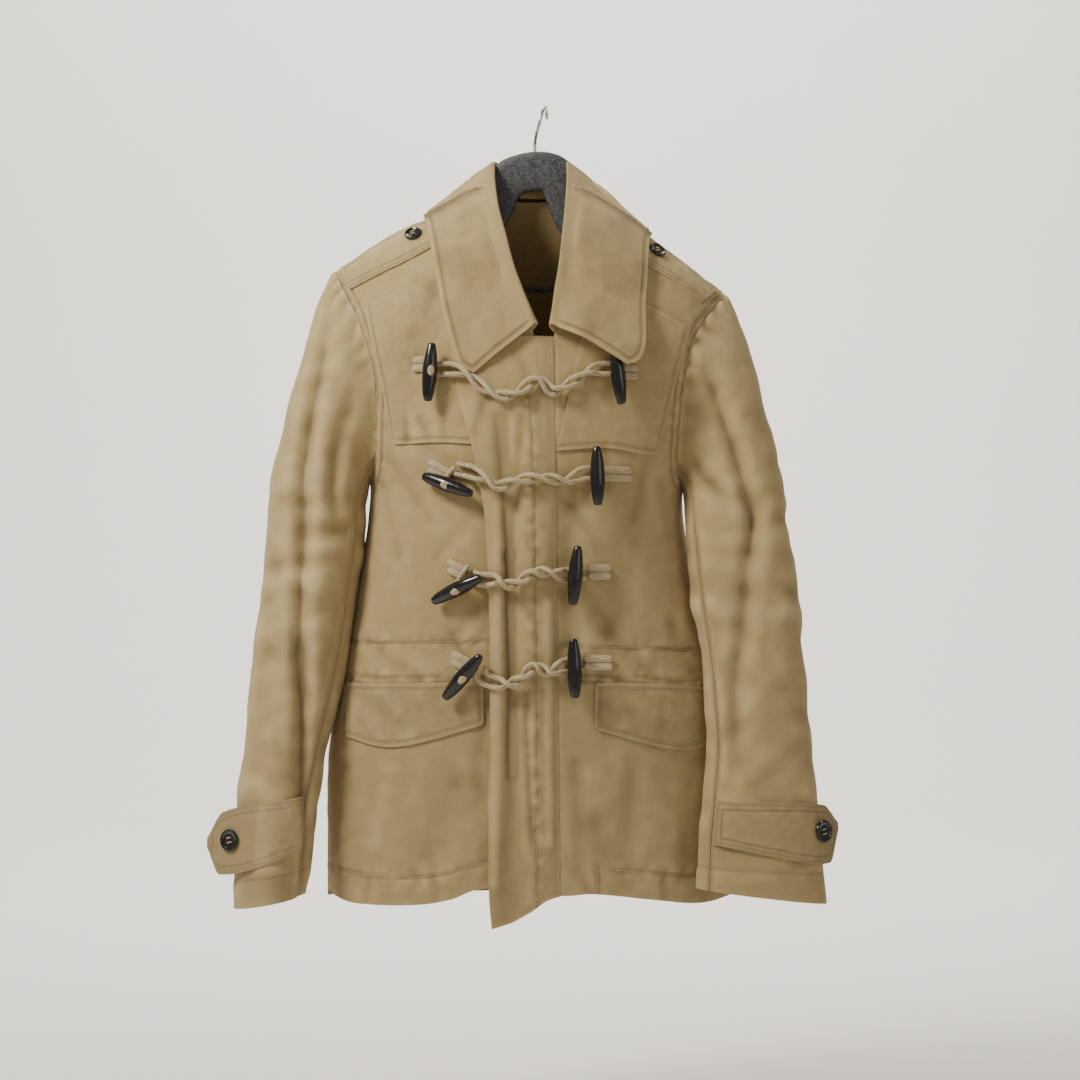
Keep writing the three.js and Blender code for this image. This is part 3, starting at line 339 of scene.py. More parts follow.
def node(nodes, kind, **values):
    made = nodes.new(kind)
    for key, value in values.items():
        if key in made.inputs:
            made.inputs[key].default_value = value
        else:
            setattr(made, key, value)
    return made


def blend_colour(nodes, links, first, second, factor, how="MIX"):
    made = node(nodes, "ShaderNodeMix", data_type="RGBA", blend_type=how)
    for socket, value in ((0, factor), (6, first), (7, second)):
        if hasattr(value, "links"):
            links.new(value, made.inputs[socket])
        else:
            made.inputs[socket].default_value = value
    return made.outputs[2]


def raised(nodes, links, height, strength, distance, below=None):
    bump = node(nodes, "ShaderNodeBump", Strength=strength, Distance=distance)
    links.new(height, bump.inputs["Height"])
    if below is not None:
        links.new(below, bump.inputs["Normal"])
    return bump.outputs["Normal"]


def scaled(nodes, links, value, times, plus=0.0):
    made = node(nodes, "ShaderNodeMath", operation="MULTIPLY_ADD")
    links.new(value, made.inputs[0])
    made.inputs[1].default_value = times
    made.inputs[2].default_value = plus
    return made.outputs[0]


# %% [markdown]
# ## Tubes
# Cord, wire and thread are all tubes. A flat grid is rolled round a line of points, its seam is
# merged and its ends are filled, so that the tube is closed like a real cord. A section that isn't
# round is given as a list of factors, as for the flat hanger board.
# %% Tubes
def dress(piece, *nodes, slot="cotton_twill"):
    if nodes:
        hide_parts(*nodes)
    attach(piece, "root")
    return piece


def lengths(points):
    return np.concatenate(([0.0], np.cumsum(np.linalg.norm(np.diff(points, axis=0), axis=1))))


def close_up(piece):
    bpy.ops.object.mode_set(mode="EDIT")
    bpy.ops.mesh.select_all(action="SELECT")
    bpy.ops.mesh.remove_doubles(threshold=2e-6)
    bpy.ops.mesh.select_all(action="SELECT")
    bpy.ops.mesh.fill_holes(sides=0)
    bpy.ops.mesh.select_all(action="SELECT")
    bpy.ops.mesh.normals_make_consistent(inside=False)
    bpy.ops.object.mode_set(mode="OBJECT")


def moved_grid(name, points, lay):
    rows, columns = points.shape[0] - 1, points.shape[1] - 1
    bpy.ops.object.select_all(action="DESELECT")
    bpy.ops.mesh.primitive_grid_add(x_subdivisions=columns, y_subdivisions=rows, size=1)
    piece = bpy.context.object
    piece.name = piece.data.name = name
    mesh = piece.data
    place = np.empty(len(mesh.vertices) * 3)
    mesh.vertices.foreach_get("co", place)
    place = place.reshape(-1, 3)
    column = np.rint((place[:, 0] + 0.5) * columns).astype(int)
    row = np.rint((place[:, 1] + 0.5) * rows).astype(int)
    mesh.vertices.foreach_set("co", (points[row, column] * MM).ravel())
    corners = np.empty(len(mesh.loops), int)
    mesh.loops.foreach_get("vertex_index", corners)
    mesh.uv_layers.active.data.foreach_set("uv", (lay[row, column] * MM)[corners].ravel())
    return piece, row, column


def grid_piece(name, points, lay, material, smooth_angle=50):
    piece, row, column = moved_grid(name, points, lay)
    piece.data.materials.append(material)
    close_up(piece)
    bpy.ops.object.shade_smooth_by_angle(angle=math.radians(smooth_angle))
    return piece


def tube(name, centres, outward, radius, around, material,
         relief=None, round_ends=True, section=None, power=1.0):
    along = unit(np.gradient(centres, axis=0))
    out = unit(outward - along * np.sum(outward * along, axis=1, keepdims=True))
    side = np.cross(along, out)
    far = lengths(centres)
    turn = np.linspace(0, 2 * math.pi, around + 1)
    a, b = (1.0, 1.0) if section is None else section
    size = np.full((len(centres), around + 1), float(radius))
    if relief is not None:
        size = size + relief(turn[None, :], far[:, None])
    if round_ends:
        near = np.minimum(far, far[-1] - far)
        size = size * np.sqrt(np.clip(1 - (1 - np.minimum(near / radius, 1)) ** 2, 0.04, 1))[:, None]
    c, d = (np.sign(w) * np.abs(w) ** power for w in (np.cos(turn), np.sin(turn)))
    ring = (
        out[:, None, :] * (c[None, :, None] * np.reshape(a, (-1, 1, 1)))
        + side[:, None, :] * (d[None, :, None] * np.reshape(b, (-1, 1, 1)))
    )
    points = centres[:, None, :] + ring * size[..., None]
    lay = np.stack(np.broadcast_arrays(turn[None, :] * radius, far[:, None]), axis=-1)
    return grid_piece(name, points, lay, material)


# %% [markdown]
# ## Braided cord
# Each fastening is a pair of round braids. A braid shows small slanted tufts that cross over and
# under each other. Two slanted waves give the tufts and a checker lets them take turns. The grooves
# between the tufts are painted dark brown as shade and their tops paler as highlight, and random
# brown flecks lie over them.
# %% Cord material
def braid(name, light, dark):
    material, nodes, links, surface = shader(name, 0.85, sheen=0.08)
    spot = nodes.new("ShaderNodeTexCoord")
    heights = []
    for turn in (0.7, -0.7):
        place = node(nodes, "ShaderNodeMapping")
        place.inputs["Rotation"].default_value = (0, 0, turn)
        links.new(spot.outputs["UV"], place.inputs["Vector"])
        wave = node(nodes, "ShaderNodeTexWave", Scale=150.0, Distortion=0.6, Detail=1.0)
        links.new(place.outputs["Vector"], wave.inputs["Vector"])
        heights.append(wave.outputs["Fac"])
    turn = node(nodes, "ShaderNodeMapping")
    turn.inputs["Rotation"].default_value = (0, 0, 0.785)
    links.new(spot.outputs["UV"], turn.inputs["Vector"])
    take_turns = node(nodes, "ShaderNodeTexChecker", Scale=520.0)
    links.new(turn.outputs["Vector"], take_turns.inputs["Vector"])
    tuft = node(nodes, "ShaderNodeMix")
    links.new(take_turns.outputs["Fac"], tuft.inputs[0])
    links.new(heights[0], tuft.inputs[2])
    links.new(heights[1], tuft.inputs[3])
    fibre = node(nodes, "ShaderNodeTexNoise", Scale=900.0, Detail=3.0, Roughness=0.7)
    links.new(spot.outputs["Object"], fibre.inputs["Vector"])
    # Painted shade in the grooves and painted highlight on the tufts: the colour follows the tufts' height.
    base = blend_colour(nodes, links, dark, light, scaled(nodes, links, tuft.outputs[0], 1.1, 0.18))
    base = blend_colour(nodes, links, base, dark, scaled(nodes, links, fibre.outputs["Fac"], 1.3, -0.42))
    links.new(base, surface.inputs["Base Color"])
    plait = raised(nodes, links, tuft.outputs[0], 0.8, 0.0007)
    links.new(raised(nodes, links, fibre.outputs["Fac"], 0.4, 0.0003, plait), surface.inputs["Normal"])
    return material


cream = braid("cream_braid", (0.84, 0.69, 0.40, 1), (0.26, 0.17, 0.075, 1))

# %% [markdown]
# ## Four twisted pairs
# The two cords of a pair lie side by side at their sewn tabs and wind round each other between the
# toggles. Each cord is a fixed length of something limp, sewn at both ends, so its middle line is
# drawn first and its real length is measured on it.
# %% Cords
FROGS = (
    dict(
        patch=((-134, -273.5, -118.5), (78, -282, 93)), toggle=((-111, -284.5, 86, 0), (70, -287, 95, 0)),
        path=((-115, -280), (-101, -280), (-90, -281), (-76, -287), (-59, -302), (-41, -309), (-25, -304),
              (-15, -295), (-5, -292), (7, -304), (17, -300), (30, -292), (45, -282), (60, -279.5),
              (74, -280.5)),
        twist=(-88, 50), turns=3,
    ),
    dict(
        patch=((-117, -378, -94), (59, -386, 86)), toggle=((-95, -398, -22, -5.8), (49, -389.5, 91, 0)),
        path=((-90, -381), (-83, -383), (-76, -384), (-66, -388), (-56, -393), (-46, -400), (-30, -394),
              (-5, -391), (17, -393), (30, -389), (38, -386), (48, -386), (57, -386)),
        twist=(-66, 30), turns=2,
    ),
    dict(
        patch=((-97, -479.5, -80), (44, -486, 65)), toggle=((-86, -504, 27, -3.7), (30.5, -490, 85, 0)),
        path=((-75, -489), (-71, -492), (-60, -494), (-49, -494), (-35, -499), (-23, -494), (-12, -486),
              (3, -487), (14, -489), (20, -489), (30, -488), (41, -487)),
        twist=(-50, 12), turns=2,
    ),
    dict(
        patch=((-93, -573, -72), (40, -578, 67)), toggle=((-80, -592, 50, -0.7), (29, -583.5, 89, 0)),
        path=((-64, -583), (-61, -592), (-46, -598), (-33, -598), (-22, -591), (-10, -580), (3, -588),
              (14, -583), (21, -581), (30, -579), (38, -579)),
        twist=(-44, 12), turns=2,
    ),
)
CORD_BASE = WALL / 2 + 0.36
TWIST_FADE = 8.0
CORD_RIDGES = 6


def cord_line(frog, strand):
    line = curve_through([(x, 0, z) for x, z in frog["path"]], 331 // QUICK)
    along = unit(np.gradient(line, axis=0))
    start, end = frog["twist"]
    x, z = line[:, 0], line[:, 2]
    wound = smooth(start - TWIST_FADE, start + TWIST_FADE, x) * smooth(end + TWIST_FADE, end - TWIST_FADE, x)
    angle = strand * math.pi + frog["turns"] * 2 * math.pi * np.clip((x - start) / (end - start), 0, 1)
    sideways = CORD_TWIST * np.cos(angle) * (1.5 - 0.5 * wound)
    rise = wound * CORD_TWIST * (1 + np.sin(angle))
    height = highest(x, z, 7.6) + CORD_BASE + CORD / 2 + 0.9 + rise
    at = (x - along[:, 2] * sideways, z + along[:, 0] * sideways)
    base = over(at[0], at[1], -1, np.zeros(len(x)))
    return base + (over(at[0], at[1], -1, np.ones(len(x))) - base) * height[:, None], base


def braided(turn, far):
    one = np.cos(CORD_RIDGES * turn + far * 2.1)
    two = np.cos(CORD_RIDGES * turn - far * 2.1)
    return 0.11 * np.maximum(one, two) - 0.05


for number, frog in enumerate(FROGS, 1):
    for strand, letter in enumerate("ab"):
        centres, base = cord_line(frog, strand)
        piece = tube(
            f"cord_{number}_{letter}_braid", centres, centres - base, CORD / 2, 24, cream, relief=braided)
        dress(piece, f"cord_{number}_{letter}", slot="cream_cord")
        length = lengths(centres)[-1] * MM
        [tuple(p) for p in centres * MM]
        print(piece.name, "length in mm:", round(length / MM, 1))

# %% [markdown]
# ## Flattened cord ends
# Where a pair is sewn down, its two ends lie flat side by side under rows of machine stitches. A
# short flat tube stands for each end, so the tab shows the two braids and the groove between them.
# %% Sewn tabs
SLANT = {"right": -0.55, "left": -0.02}
TAB_HALF = 8.2


def tab_lines(frog, which, index):
    outer, z, inner = frog["patch"][index]
    slope = SLANT[which] if frog is not FROGS[0] else SLANT["left"]
    low = highest((outer + inner) / 2, z, abs(inner - outer) / 2 + 1)
    s = np.linspace(-0.06, 1.04, 60)
    x = mix(outer, inner, s)
    return x, z + slope * (x - outer), low


for number, frog in enumerate(FROGS, 1):
    for index, which in enumerate(("right", "left")):
        x, z, low = tab_lines(frog, which, index)
        ends = []
        for up in (-TAB_HALF / 2, TAB_HALF / 2):
            one = np.ones(len(x))
            base = over(x, z + up, -1, 0 * one)
            out = over(x, z + up, -1, one) - base
            press = 0.5 * np.cos(np.linspace(0, 1, 60) * 2 * math.pi * 3)
            centres = base + out * (low + CORD_BASE + 1.7 + 0.25 * press)[:, None]
            level = "low" if up < 0 else "high"
            ends.append(tube(
                f"cord_end_{which}_{number}_{level}", centres, out, TAB_HALF / 2, 24, cream,
                relief=braided, section=(0.42, 0.98)))
        dress(ends[0], f"cord_tab_{which}_{number}", slot="cream_cord")
        dress(ends[1], slot="cream_cord")

# %% [markdown]
# ## Turned things
# Toggles and buttons are turned on a lathe, so their outline is spun round an axis. The toggle is a
# little flat and uneven, because horn is cut by hand, and its hole lets a cord show as a pale dot.
# %% Toggles
def horn(name):
    material, nodes, links, surface = shader(name, 0.16, coat=0.35)
    surface.inputs["Coat Roughness"].default_value = 0.08
    spot = nodes.new("ShaderNodeTexCoord")
    stretch = node(nodes, "ShaderNodeMapping")
    stretch.inputs["Scale"].default_value = (1.0, 1.0, 0.12)
    links.new(spot.outputs["Object"], stretch.inputs["Vector"])
    grain = node(nodes, "ShaderNodeTexNoise", Scale=240.0, Detail=4.0, Roughness=0.6)
    links.new(stretch.outputs["Vector"], grain.inputs["Vector"])
    black, brown = (0.006, 0.0055, 0.005, 1), (0.035, 0.024, 0.015, 1)
    base = blend_colour(nodes, links, black, brown, scaled(nodes, links, grain.outputs["Fac"], 2.0, -1.0))
    # Painted shade: the holes of a button are painted nearly black.
    hole = node(nodes, "ShaderNodeAttribute", attribute_name="hole")
    base = blend_colour(nodes, links, base, (0.002, 0.002, 0.002, 1), hole.outputs["Fac"])
    links.new(base, surface.inputs["Base Color"])
    links.new(scaled(nodes, links, grain.outputs["Fac"], 0.22, 0.08), surface.inputs["Roughness"])
    links.new(raised(nodes, links, grain.outputs["Fac"], 0.25, 0.0003), surface.inputs["Normal"])
    return material


black_horn = horn("black_horn")


def turned(name, profile, around, centre, axis, face, material, shape=None, smooth_angle=40, paint=None):
    profile = np.array(profile, float)
    axis, face = unit(np.array(axis, float)), np.array(face, float)
    face = unit(face - axis * np.dot(face, axis))
    side = np.cross(axis, face)
    turn = np.linspace(0, 2 * math.pi, around + 1)
    radius, high = profile[:, 0][:, None], profile[:, 1][:, None] + 0 * turn[None, :]
    local = np.stack((radius * np.cos(turn), radius * np.sin(turn), high), axis=-1)
    if shape is not None:
        local = shape(local)
    points = (
        np.array(centre, float) + local[..., 0:1] * face + local[..., 1:2] * side + local[..., 2:3] * axis)
    lay = np.stack(np.broadcast_arrays(turn[None, :] * 6, profile[:, 1][:, None]), axis=-1)
    piece = grid_piece(name, points, lay, material, smooth_angle)
    if paint is not None:
        spots = np.array([v.co for v in piece.data.vertices]) / MM - np.array(centre, float)
        values = paint(np.stack((spots @ face, spots @ side, spots @ axis), axis=-1))
        piece.data.attributes.new("hole", "FLOAT", "POINT").data.foreach_set("value", values)
    return piece


def rounded_profile(corners, steps):
    line = curve_through([(r, 0, h) for r, h in corners], steps)
    return np.stack((np.maximum(line[:, 0], 0), line[:, 2]), axis=1)


TOGGLE_CORNERS = (
    (0, -30), (2.6, -29.9), (3.6, -29.3), (4.5, -27), (5.6, -22), (6.7, -13), (7.3, -5), (7.25, 5), (6.5, 14),
    (5.2, 22), (4.2, 26.8), (3.3, 29.2), (2.4, 29.9), (0, 30),
)
KNOT_CORNERS = ((0, -1.5), (3.4, -1.2), (4.2, -0.2), (3.2, 1.0), (0, 1.5))


def toggle_place(x, z, turn, rest):
    reach = TOGGLE_LENGTH * 0.47
    a = math.radians(turn)

    def end(away):
        ex, ez = np.array([x + away * math.cos(a)]), np.array([z + away * math.sin(a)])
        high = np.maximum(highest(np.array([x]), np.array([z]), 7), highest(ex, ez, 7)) + rest
        return over(ex, ez, -1, high)[0]

    ahead, behind = end(reach), end(-reach)
    return (ahead + behind) / 2, unit(ahead - behind)


def knobbly(seed):
    def shape(local):
        wave = crinkle(local, 13.0, seed) * 0.35
        out = unit(local * np.array((1, 1, 0)))
        return local * np.array((0.96, 1.03, 1)) + out * wave[..., None]

    return shape


FRONT = np.array((0.0, -1.0, 0.0))
for number, frog in enumerate(FROGS, 1):
    for index, which in enumerate(("right", "left")):
        x, z, turn, lower = frog["toggle"][index]
        rest = CORD_BASE + CORD + TOGGLE_WIDTH / 2 + 0.36 + 0.4 + lower
        centre, axis = toggle_place(x, z, turn, rest + 0.6)
        piece = turned(
            f"toggle_{which}_{number}_horn", rounded_profile(TOGGLE_CORNERS, 90), 32, centre, axis, FRONT,
            black_horn, shape=knobbly(number * 3.0 + index))
        dress(piece, f"toggle_{which}_{number}", slot="black_horn")
        if which == "right":
            eye = centre + FRONT * 6.9 + axis * 1.5 * (1 if number == 1 else -1) + np.cross(axis, FRONT) * 1.4
            knot = turned(
                f"toggle_cord_{number}", rounded_profile(KNOT_CORNERS, 18),
                24, eye, FRONT, axis, cream, shape=lambda p: p * np.array((1.35, 0.85, 1)))
            dress(knot, slot="cream_cord")
            gap = axis * (2.0 if number == 1 else 3.0)
            behind = centre - FRONT * 6.0
            across_tab = np.array((frog["patch"][index][2], behind[1], frog["patch"][index][1]))
            middle = mix(across_tab, behind, 0.6) + FRONT * 1.5 - gap
            loop = curve_through((across_tab - FRONT * 1.0 + gap, middle, behind - gap, behind + gap), 40)
            strand = tube(f"toggle_loop_{number}", loop, np.tile(FRONT, (40, 1)), CORD / 2.3, 16, cream)
            dress(strand, slot="cream_cord")

# %% [markdown]
# ## Shaping a piece of cloth
# A panel starts as a flat grid, as cloth starts flat on the table. Its points are moved to their
# place on the form, small creases are pressed in along the surface, and Solidify gives the cloth
# its thickness. The UV map is set to real metres, so that weave and stitches keep their scale.
# %% Cloth shells
GRIDS = {}


def blurred(points, rows, columns):
    for axis, reach in ((0, rows), (1, columns)):
        wide = [(0, 0)] * 3
        wide[axis] = (reach + 1, reach)
        total = np.cumsum(np.pad(points, wide, mode="reflect", reflect_type="odd"), axis=axis)
        count = points.shape[axis]
        ends = [np.take(total, np.arange(k, k + count), axis=axis) for k in (2 * reach + 1, 0)]
        points = (ends[0] - ends[1]) / (2 * reach + 1)
    return points


def measured(points):
    along = np.cumsum(np.linalg.norm(np.diff(points, axis=1, prepend=points[:, :1]), axis=2), axis=1)
    up = np.cumsum(np.linalg.norm(np.diff(points, axis=0, prepend=points[:1]), axis=2), axis=0)
    return along, up


def edge_gaps(along, up):
    return along, along[:, -1:] - along, up, up[-1:] - up


def cloth(name, point, steps, thick, material, flip=1, relief=None, inner=None, edge_width=7.0):
    nu, nv = max(4, steps[0] // QUICK), max(4, steps[1] // QUICK)
    u, v = np.meshgrid(np.linspace(0, 1, nu + 1), np.linspace(0, 1, nv + 1))
    points = point(u, v)
    du, dv = np.gradient(points, axis=1), np.gradient(points, axis=0)
    normals = unit(np.cross(du, dv)) * flip
    seam = np.zeros(u.shape)
    if relief is not None:
        height, seam = relief(u, v, points)
        points = points + normals * height[..., None]
    along, up = measured(points)
    rim = np.minimum.reduce(edge_gaps(along, up))
    GRIDS[name] = (points, normals, along, up, thick)
    # Fold mask for painted shade and highlight: how far each point lies below the blurred cloth around it, 0.5
    # where the cloth is flat.
    reach = [max(1, round(9 * count / far.max())) for count, far in ((nv, up), (nu, along))]
    sunk = np.sum((blurred(blurred(points, *reach), *reach) - points) * normals, axis=-1)
    fold_shading = np.clip(0.5 + sunk / 3.6, 0, 1)
    piece, row, column = moved_grid(name, points, np.stack((along, up), axis=-1))
    mesh = piece.data
    for label, values in (("rim", 1 - smooth(0, edge_width, rim)), ("seam", seam), ("fold_shading", fold_shading)):
        mesh.attributes.new(label, "FLOAT", "POINT").data.foreach_set("value", values[row, column])
    if flip < 0:
        bpy.ops.object.mode_set(mode="EDIT")
        bpy.ops.mesh.select_all(action="SELECT")
        bpy.ops.mesh.flip_normals()
        bpy.ops.object.mode_set(mode="OBJECT")
    mesh.materials.append(material)
    mesh.materials.append(inner or material)
    solid = piece.modifiers.new("thickness", "SOLIDIFY")
    solid.thickness = thick * MM
    solid.offset = 0
    solid.material_offset = 1
    bpy.ops.object.modifier_apply(modifier=solid.name)
    bpy.ops.object.shade_smooth_by_angle(angle=math.radians(50))
    print(name, "faces:", len(piece.data.polygons))
    return piece


# %% [markdown]
# ## Washed cotton twill
# Twill shows fine diagonal ribs close up, and a soft mottled tan from a step away. Garment washing
# rubs the edges paler, and painted shade darkens the stitch grooves. The ribs are a bump on the UV
# map, the mottling is noise in the object's own space. Rim, seam and fold shading are attributes.
# Painted shade darkens cloth that lies below the cloth around it, a painted highlight pales a ridge,
# and more painted shade darkens the colour on its way down to the hem, as the light falls from above.
# %% Cloth material
def twill(name, light, dark, worn_and_lit, tilt=0.7):
    material, nodes, links, surface = shader(name, 0.92, sheen=0.1)
    surface.inputs["Sheen Roughness"].default_value = 0.6
    spot = nodes.new("ShaderNodeTexCoord")
    cloud = node(nodes, "ShaderNodeTexNoise", Scale=9.0, Detail=5.0, Roughness=0.6)
    fleck = node(nodes, "ShaderNodeTexNoise", Scale=260.0, Detail=3.0, Roughness=0.7)
    slub = node(nodes, "ShaderNodeTexNoise", Scale=70.0, Detail=4.0, Roughness=0.65)
    for texture in (cloud, slub):
        links.new(spot.outputs["Object"], texture.inputs["Vector"])
    links.new(spot.outputs["UV"], fleck.inputs["Vector"])
    base = blend_colour(nodes, links, light, dark, cloud.outputs["Fac"])
    base = blend_colour(nodes, links, base, dark, scaled(nodes, links, slub.outputs["Fac"], 0.5, -0.08))
    base = blend_colour(nodes, links, base, light, scaled(nodes, links, fleck.outputs["Fac"], 0.7, -0.2))
    rim = node(nodes, "ShaderNodeAttribute", attribute_name="rim")
    seam = node(nodes, "ShaderNodeAttribute", attribute_name="seam")
    patchy = node(nodes, "ShaderNodeMath", operation="MULTIPLY")
    links.new(rim.outputs["Fac"], patchy.inputs[0])
    links.new(scaled(nodes, links, slub.outputs["Fac"], 1.1, -0.1), patchy.inputs[1])
    base = blend_colour(nodes, links, base, worn_and_lit, scaled(nodes, links, patchy.outputs[0], 0.75))
    # Painted shade in the stitch grooves: the seam mask darkens the colour along each stitch line.
    shade = tuple(c * 0.5 for c in dark[:3]) + (1,)
    base = blend_colour(nodes, links, base, shade, scaled(nodes, links, seam.outputs["Fac"], 0.65))
    # Painted shade towards the hem: the colour darkens on its way down, as the light falls from above.
    apart = nodes.new("ShaderNodeSeparateXYZ")
    links.new(spot.outputs["Object"], apart.inputs[0])
    base = blend_colour(nodes, links, base, shade, scaled(nodes, links, apart.outputs["Z"], -0.62, -0.12))
    # Painted shade in the folds and painted highlight on the ridges, both from the fold mask.
    fold_shading = node(nodes, "ShaderNodeAttribute", attribute_name="fold_shading")
    base = blend_colour(nodes, links, base, shade, scaled(nodes, links, fold_shading.outputs["Fac"], 2.1, -1.08))
    base = blend_colour(nodes, links, base, worn_and_lit, scaled(nodes, links, fold_shading.outputs["Fac"], -1.5, 0.70))
    links.new(base, surface.inputs["Base Color"])
    turn = node(nodes, "ShaderNodeMapping")
    turn.inputs["Rotation"].default_value = (0, 0, tilt)
    links.new(spot.outputs["UV"], turn.inputs["Vector"])
    ribs = node(nodes, "ShaderNodeTexWave", Scale=330.0, Distortion=1.2, Detail=1.0)
    ribs.inputs["Detail Scale"].default_value = 1.5
    links.new(turn.outputs["Vector"], ribs.inputs["Vector"])
    weave = node(nodes, "ShaderNodeMath", operation="ADD")
    links.new(scaled(nodes, links, ribs.outputs["Fac"], 0.35), weave.inputs[0])
    links.new(fleck.outputs["Fac"], weave.inputs[1])
    fine = raised(nodes, links, weave.outputs[0], 0.55, 0.0006)
    links.new(raised(nodes, links, slub.outputs["Fac"], 0.5, 0.0022, fine), surface.inputs["Normal"])
    return material


TAN_LIGHT = (0.50, 0.368, 0.158, 1)
TAN_DARK = (0.36, 0.255, 0.10, 1)
# The paler tan serves the worn edges, and also the painted highlight on the ridges of the folds.
TAN_WORN_AND_LIT = (0.62, 0.475, 0.235, 1)
cotton = twill("cotton_twill_tan", TAN_LIGHT, TAN_DARK, TAN_WORN_AND_LIT)
cotton_low = twill("cotton_twill_shade", (0.45, 0.33, 0.145, 1), (0.325, 0.232, 0.095, 1), TAN_WORN_AND_LIT, tilt=0.8)
facing = twill("inner_facing", (0.44, 0.30, 0.125, 1), (0.31, 0.205, 0.085, 1), (0.5, 0.36, 0.17, 1))
print("cloth materials:", cotton.name, cotton_low.name, facing.name)

# %% [markdown]
# ## Armholes and panel edges
# Each front is cut with a straight side, a curved armhole, a sloped shoulder and a neckline. Four
# edge curves say where those lines run, and the points between them are blended from all four,
# so that the rows of the grid turn from the slope of the shoulder to the level hem.
# %% Panel edges
ARMHOLE = {
    "right": dict(
        sign=-1, low=-394, high=-174.33,
        front=reader(("turn", "f"), (0, 1), (15, 0.91), (30, 0.822), (45, 0.745), (60, 0.695),
                     (90, 0.618), (120, 0.606), (150, 0.66), (180, 0.7)),
        back=reader(("turn", "f"), (0, 1), (30, 0.85), (60, 0.75), (90, 0.69), (120, 0.665),
                    (150, 0.68), (180, 0.7)),
    ),
    "left": dict(
        sign=1, low=-398, high=-199.14,
        front=reader(("turn", "f"), (0, 1), (15, 0.915), (30, 0.828), (45, 0.77), (60, 0.733),
                     (90, 0.66), (120, 0.606), (150, 0.655), (180, 0.71)),
        back=reader(("turn", "f"), (0, 1), (30, 0.86), (60, 0.77), (90, 0.7), (120, 0.66),
                    (150, 0.68), (180, 0.71)),
    ),
}
UNDERARM = 0.58


def armhole(hole, turn, side):
    z = mix(hole["high"], hole["low"], (1 + np.cos(np.radians(turn))) / 2)
    front = hole["sign"] * hole["front"](turn)["f"]
    back = hole["sign"] * hole["back"](turn)["f"]
    return np.where(side < 0, front, back), z


def side_edge(which, side, hem):
    hole = ARMHOLE[which]

    def edge(v):
        turn = 180 * np.clip((v - UNDERARM) / (1 - UNDERARM), 0, 1)
        f, z = armhole(hole, turn, side)
        low = v <= UNDERARM
        return np.where(low, hole["sign"] * 0.9988, f), np.where(low, mix(hem, hole["low"], v / UNDERARM), z)

    return edge


neck_right = reader(
    ("t", "x", "z"),
    (0, -12, -240), (0.25, -38, -213), (0.5, -60, -178), (0.75, -75, -136), (0.92, -80, -103),
    (1, -81, -95.6),
)
neck_left = reader(
    ("t", "x", "z"),
    (0, 9, -243), (0.25, 27, -213), (0.5, 40, -180), (0.75, 49, -140), (0.92, 51, -106), (1, 51, -98.6),
)
hem_at = reader(
    ("x", "z"),
    (-228, -818), (-207, -826), (-185, -828), (-127, -825), (-96, -819), (-68, -808), (-20, -806),
    (16, -814), (49, -813), (106, -820), (159, -827), (197, -822),
)


def front_edge(neck, bottom_x, bottom_z):
    waist = -392
    start = neck(0)

    def edge(v):
        w = np.clip((v - UNDERARM) / (1 - UNDERARM), 0, 1)
        below, above = mix(bottom_z, waist, v / UNDERARM), mix(waist, start["z"], np.minimum(1, w * 2))
        z = np.where(v <= UNDERARM, below, above)
        x = mix(bottom_x, start["x"], (z - bottom_z) / (start["z"] - bottom_z))
        place = neck(np.sin(np.clip(w - 0.5, 0, 0.5) * math.pi))
        x, z = np.where(w > 0.5, place["x"], x), np.where(w > 0.5, place["z"], z)
        return across(x, z), z

    return edge


def panel(low, high, start, end, u, v):
    b, t, l, r = low(u), high(u), start(v), end(v)
    ends = [edge(np.array(w)) for edge in (low, high) for w in (0.0, 1.0)]
    corner = [[float(e[k]) for e in ends] for k in (0, 1)]
    return [
        (1 - v) * b[k] + v * t[k] + (1 - u) * l[k] + u * r[k]
        - (1 - u) * (1 - v) * corner[k][0] - u * (1 - v) * corner[k][1]
        - (1 - u) * v * corner[k][2] - u * v * corner[k][3]
        for k in (0, 1)
    ]


def front_point(start, end):
    a, b = np.array(0.0), np.array(1.0)
    foot = (float(start(a)[0]), float(end(a)[0]))
    top = [float(body(*edge(b), -1)[..., 0]) for edge in (start, end)]

    def low(u):
        f = mix(foot[0], foot[1], u)
        return f, hem_at(body(f, np.full_like(f, HEM_Z), -1)[..., 0])["z"]

    def high(u):
        x = mix(top[0], top[1], u)
        z = shoulder(x) - 0.002
        return across(x, z), z

    return lambda u, v: body(*panel(low, high, start, end, u, v * 0.99999), -1)


# %% [markdown]
# ## Stitch lines
# Topstitching does two things on a coat: it draws a fine row of threads, and it pulls the cloth
# into a shallow groove with small puckers. The grooves are pressed into the shells here. The
# threads are real pieces, and they come later, when all the cloth is in place.
# %% Grooves of the stitch lines
FRONT_LINES = (
    ((-215, -559), (-148, -558), (-50, -556)), ((22, -561), (106, -564.5), (172, -568)),
    ((-218, -594.5), (-148, -594), (-50, -592)), ((-218, -600), (-148, -599.5), (-50, -598)),
    ((22, -591), (106, -594), (180, -600)), ((22, -597), (106, -600), (180, -606)),
    ((-222, -792), (-185, -798), (-127, -797), (-96, -791), (-60, -780)),
    ((53, -787), (106, -793), (159, -799), (194, -796)), ((53, -787), (54, -812)),
)


def armhole_line(which, inset):
    turns = np.arange(8, 180, 6.0)
    f, z = armhole(ARMHOLE[which], turns, -1)
    return tuple(zip(body(f, z, -1)[..., 0] - ARMHOLE[which]["sign"] * inset, z))


ARMHOLE_LINES = {
    (which, inset): armhole_line(which, inset) for which in ("right", "left") for inset in (2.0, 8.5)}


